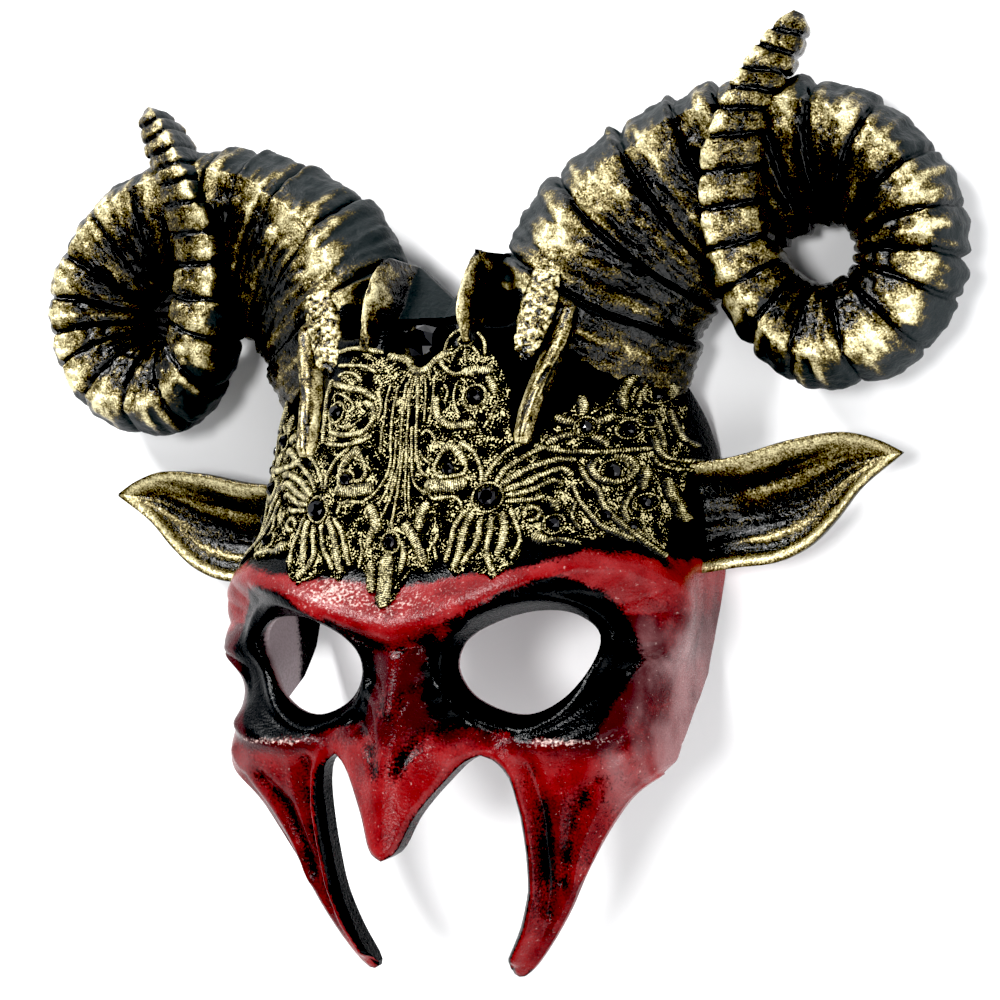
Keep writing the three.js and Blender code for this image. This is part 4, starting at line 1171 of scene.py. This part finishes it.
def make_net(material):
    """A thin sheet over the forehead, cut to the outline of the lace."""
    x = np.linspace(-69.5, 69.5, 330)
    y = np.linspace(-31, 45, 200)
    x, y = np.meshgrid(x, y)
    place, normal = on_skin(x, y)
    outline = NET_EDGE + mirrored(NET_EDGE[1:-1])
    inside = depth_inside(outline, x, y) + 1.2 * (noise(place, 1.6, 2) - 0.5)
    rough = noise(place, 0.9, 2)
    top = place + normal * (LACE_GAP + 0.25 + 0.3 * rough)[..., None]
    low = place + normal * LACE_GAP / 2
    rows, columns = x.shape
    kept = inside > 0
    quads = kept[:-1, :-1] & kept[1:, :-1] & kept[:-1, 1:] & kept[1:, 1:]
    count = rows * columns
    at = np.arange(count).reshape(rows, columns)
    corners = np.stack([at[:-1, :-1], at[:-1, 1:], at[1:, 1:], at[1:, :-1]], axis=-1)[quads]
    edges = np.concatenate([corners[:, [k, (k + 1) % 4]] for k in range(4)])
    used = {tuple(edge) for edge in edges.tolist()}
    sides = [[b, a, a + count, b + count] for a, b in used if (b, a) not in used]
    faces = corners.tolist() + (corners[:, ::-1] + count).tolist() + sides
    points = np.concatenate([top.reshape(-1, 3), low.reshape(-1, 3)])
    meshed = np.unique(np.concatenate([corners.ravel(), corners.ravel() + count]))
    new_place = np.zeros(2 * count, int)
    new_place[meshed] = np.arange(len(meshed))
    faces = [new_place[face].tolist() for face in faces]
    make_piece("lace_net", points[meshed], faces, material, "lace")


def ring_path(x, y, radius, width):
    """A cord that runs once round a place."""
    turn = np.linspace(0.2, 0.2 + 2 * math.pi, 13)
    return width, [(x + radius * math.cos(t), y + radius * math.sin(t)) for t in turn]


def cord_paths():
    """Width and path of every cord, with rays round the large stone and a ring round each small one."""
    paths = []
    for width, path in LACE_SIDES:
        width = 0.3 + 1.1 * width
        paths.append((width, path))
        paths.append((width, mirrored(path)))
    paths += LACE_MIDDLE
    for k in range(13):
        turn = math.radians(-158 + 11.5 * k)
        way = (math.cos(turn), math.sin(turn))
        paths.append((0.9, [(1.2 + r * way[0], 46.4 + r * way[1]) for r in (9.6, 11, 12.6)]))
    for x, y, radius in STONES:
        if (x, y) != TEARDROP_STONE:
            paths.append(ring_path(x, y, radius + 0.7, 1.0))
    return paths


def make_cords(material):
    """Half-round cords on the net, swept along their paths over the skin."""
    around = np.array([-1, -0.86, -0.5, 0, 0.5, 0.86, 1, 0.7, -0.7])
    height = np.array([0, 0.5, 0.87, 1, 0.87, 0.5, 0, -0.3, -0.3])
    points, faces, along, edge = [], [], [], []
    start = 0
    for index, (width, path) in enumerate(cord_paths()):
        rough = curve_through(path, 60)
        length = np.sum(np.linalg.norm(np.diff(rough, axis=0), axis=1))
        steps = max(4, round(length / CORD_STEP))
        line = curve_through(path, steps)
        way = np.gradient(line, axis=0)
        way /= np.linalg.norm(way, axis=1, keepdims=True)
        end = np.minimum(np.arange(steps), np.arange(steps)[::-1]) * CORD_STEP
        swell = np.sqrt(np.clip(1 - (1 - end / (0.5 * width)).clip(0) ** 2, 0.12, 1))
        half = 0.5 * width * swell * (1 + 0.12 * np.sin(np.arange(steps) * 1.9 + index))
        x = line[:, :1] - way[:, 1:] * around * half[:, None]
        y = line[:, 1:] + way[:, :1] * around * half[:, None]
        place, normal = on_skin(x, y)
        tall = np.minimum(0.5 * width, 0.75 + 0.12 * width) * swell[:, None] * height
        lift = LACE_GAP + 0.3 + 0.12 * (index % 3)
        ring, closed = ring_mesh(place + normal * (lift + tall)[..., None])
        points.append(ring)
        faces += [[start + corner for corner in face] for face in closed]
        start += len(ring)
        along.append((np.arange(steps) * CORD_STEP)[:, None] + 0 * x)
        # the stored edge value: fraying across each cord, plus painted shade that darkens the cords towards
        # the right
        edge.append(np.abs(around) + 0.35 * smoothstep(x, 30, 46))
    cords = make_piece("lace_cords", np.concatenate(points), faces, material, "lace")
    paint(cords, along=np.concatenate(along, axis=None), edge=np.concatenate(edge, axis=None))


# Stones

def make_stone(node, x, y, radius, material):
    """A cut stone: a girdle, a ring of sloping facets, a ring of star facets and a flat table."""
    sides = 8
    place, normal = (value[0] for value in on_skin([x], [y]))
    first = np.cross(normal, (0, 1, 0))
    first /= np.linalg.norm(first)
    second = np.cross(normal, first)
    points = []
    for reach, rise, shift in ((0.98, -0.5, 0), (1, 0.1, 0), (0.8, 0.5, 0.5), (0.5, 0.75, 0)):
        for k in range(sides):
            turn = 2 * math.pi * (k + shift) / sides
            way = math.cos(turn) * first + math.sin(turn) * second
            points.append(place + radius * (reach * way + rise * normal) + (LACE_GAP + LACE_THICK) * normal)
    faces = [list(range(sides))[::-1], list(range(3 * sides, 4 * sides))]
    for ring in range(3):
        for k in range(sides):
            a, b = ring * sides + k, ring * sides + (k + 1) % sides
            c, d = a + sides, b + sides
            faces += ([[a, b, d, c]], [[a, b, c], [b, d, c]], [[a, d, c], [a, b, d]])[ring]
    stone = make_piece("cut_" + node, points, faces, material, node)
    stone.data.shade_flat()


# Camera, floor and lights

CAMERA_YAW, CAMERA_ROLL = 24.543961, -2.75635404
CAMERA_PLACE = (0.2620537, MIDDLE_Y * MM, 0.58)


def make_camera():
    """The camera over the lying mask, turned to its right side."""
    yaw, roll = math.radians(CAMERA_YAW), math.radians(CAMERA_ROLL)
    back = Vector((math.sin(yaw), 0, math.cos(yaw)))
    right = Vector((0, 1, 0)).cross(back).normalized()
    up = back.cross(right)
    turned_right = math.cos(roll) * right + math.sin(roll) * up
    turned_up = math.cos(roll) * up - math.sin(roll) * right
    data = bpy.data.cameras.new("camera")
    data.lens = 72
    data.sensor_width = 36
    data.clip_end = 10
    camera = bpy.data.objects.new("camera", data)
    bpy.context.scene.collection.objects.link(camera)
    matrix = np.eye(4)
    matrix[:3, :3] = np.column_stack([turned_right, turned_up, back])
    matrix[:3, 3] = CAMERA_PLACE
    camera.matrix_world = Matrix(matrix.tolist())
    bpy.context.scene.camera = camera


def make_light(name, place, size, power, aim=(0, 0, 0.04)):
    data = bpy.data.lights.new(name, "AREA")
    data.shape = "DISK"
    data.size = size
    data.energy = power
    light = bpy.data.objects.new(name, data)
    light.location = place
    light.rotation_euler = (Vector(aim) - Vector(place)).to_track_quat("-Z", "Y").to_euler()
    bpy.context.scene.collection.objects.link(light)


def make_surroundings():
    half = 2500
    points = [(-half, -half, 0), (half, -half, 0), (half, half, 0), (-half, half, 0)]
    floor = make_piece("floor", points, [[0, 1, 2, 3]], floor_material())
    make_light("window", (-0.5, 0.85, 0.85), 0.26, 17)
    make_light("fill", (0.9, -0.6, 0.9), 1.2, 12)
    make_light("ceiling", (0.1, 0.05, 1.4), 0.3, 9)
    world = bpy.data.worlds.new("room")
    world.use_nodes = True
    tree = world.node_tree
    place = add(tree, "TexCoord").outputs["Generated"]
    height = add(tree, "SeparateXYZ", {0: place}).outputs[2]
    sky = blend(tree, ramp(tree, height, 0.25, 0.75), (1.5, 1.52, 1.55), (0.1, 0.1, 0.1))
    tree.links.new(sky, tree.nodes["Background"].inputs["Color"])
    bpy.context.scene.world = world
    view = bpy.context.scene.view_settings
    view.view_transform = "Standard"
    view.use_curve_mapping = True
    view.curve_mapping.black_level = (0.033, 0.033, 0.033)
    view.exposure = 0.2


def build():
    make_camera()
    make_surroundings()
    red = red_paint()
    gilded = gilded_paint()
    make_face(red)
    for side, flip in (("right", False), ("left", True)):
        make_horn("horn_" + side, flip, gilded)
        make_ear("ear_" + side, flip, gilded)
        make_rib("rib_" + side, flip, gilded)
        make_root_plate("root_plate_" + side, flip, gilded)
    make_crest(gilded)
    make_net(net_material())
    make_cords(thread_material())
    stone = stone_material()
    make_stone("crest_gem", *CREST_GEM, stone)
    for number, (x, y, radius) in enumerate(STONES, 1):
        make_stone(f"stone_{number}", x, y, radius, stone)


build()
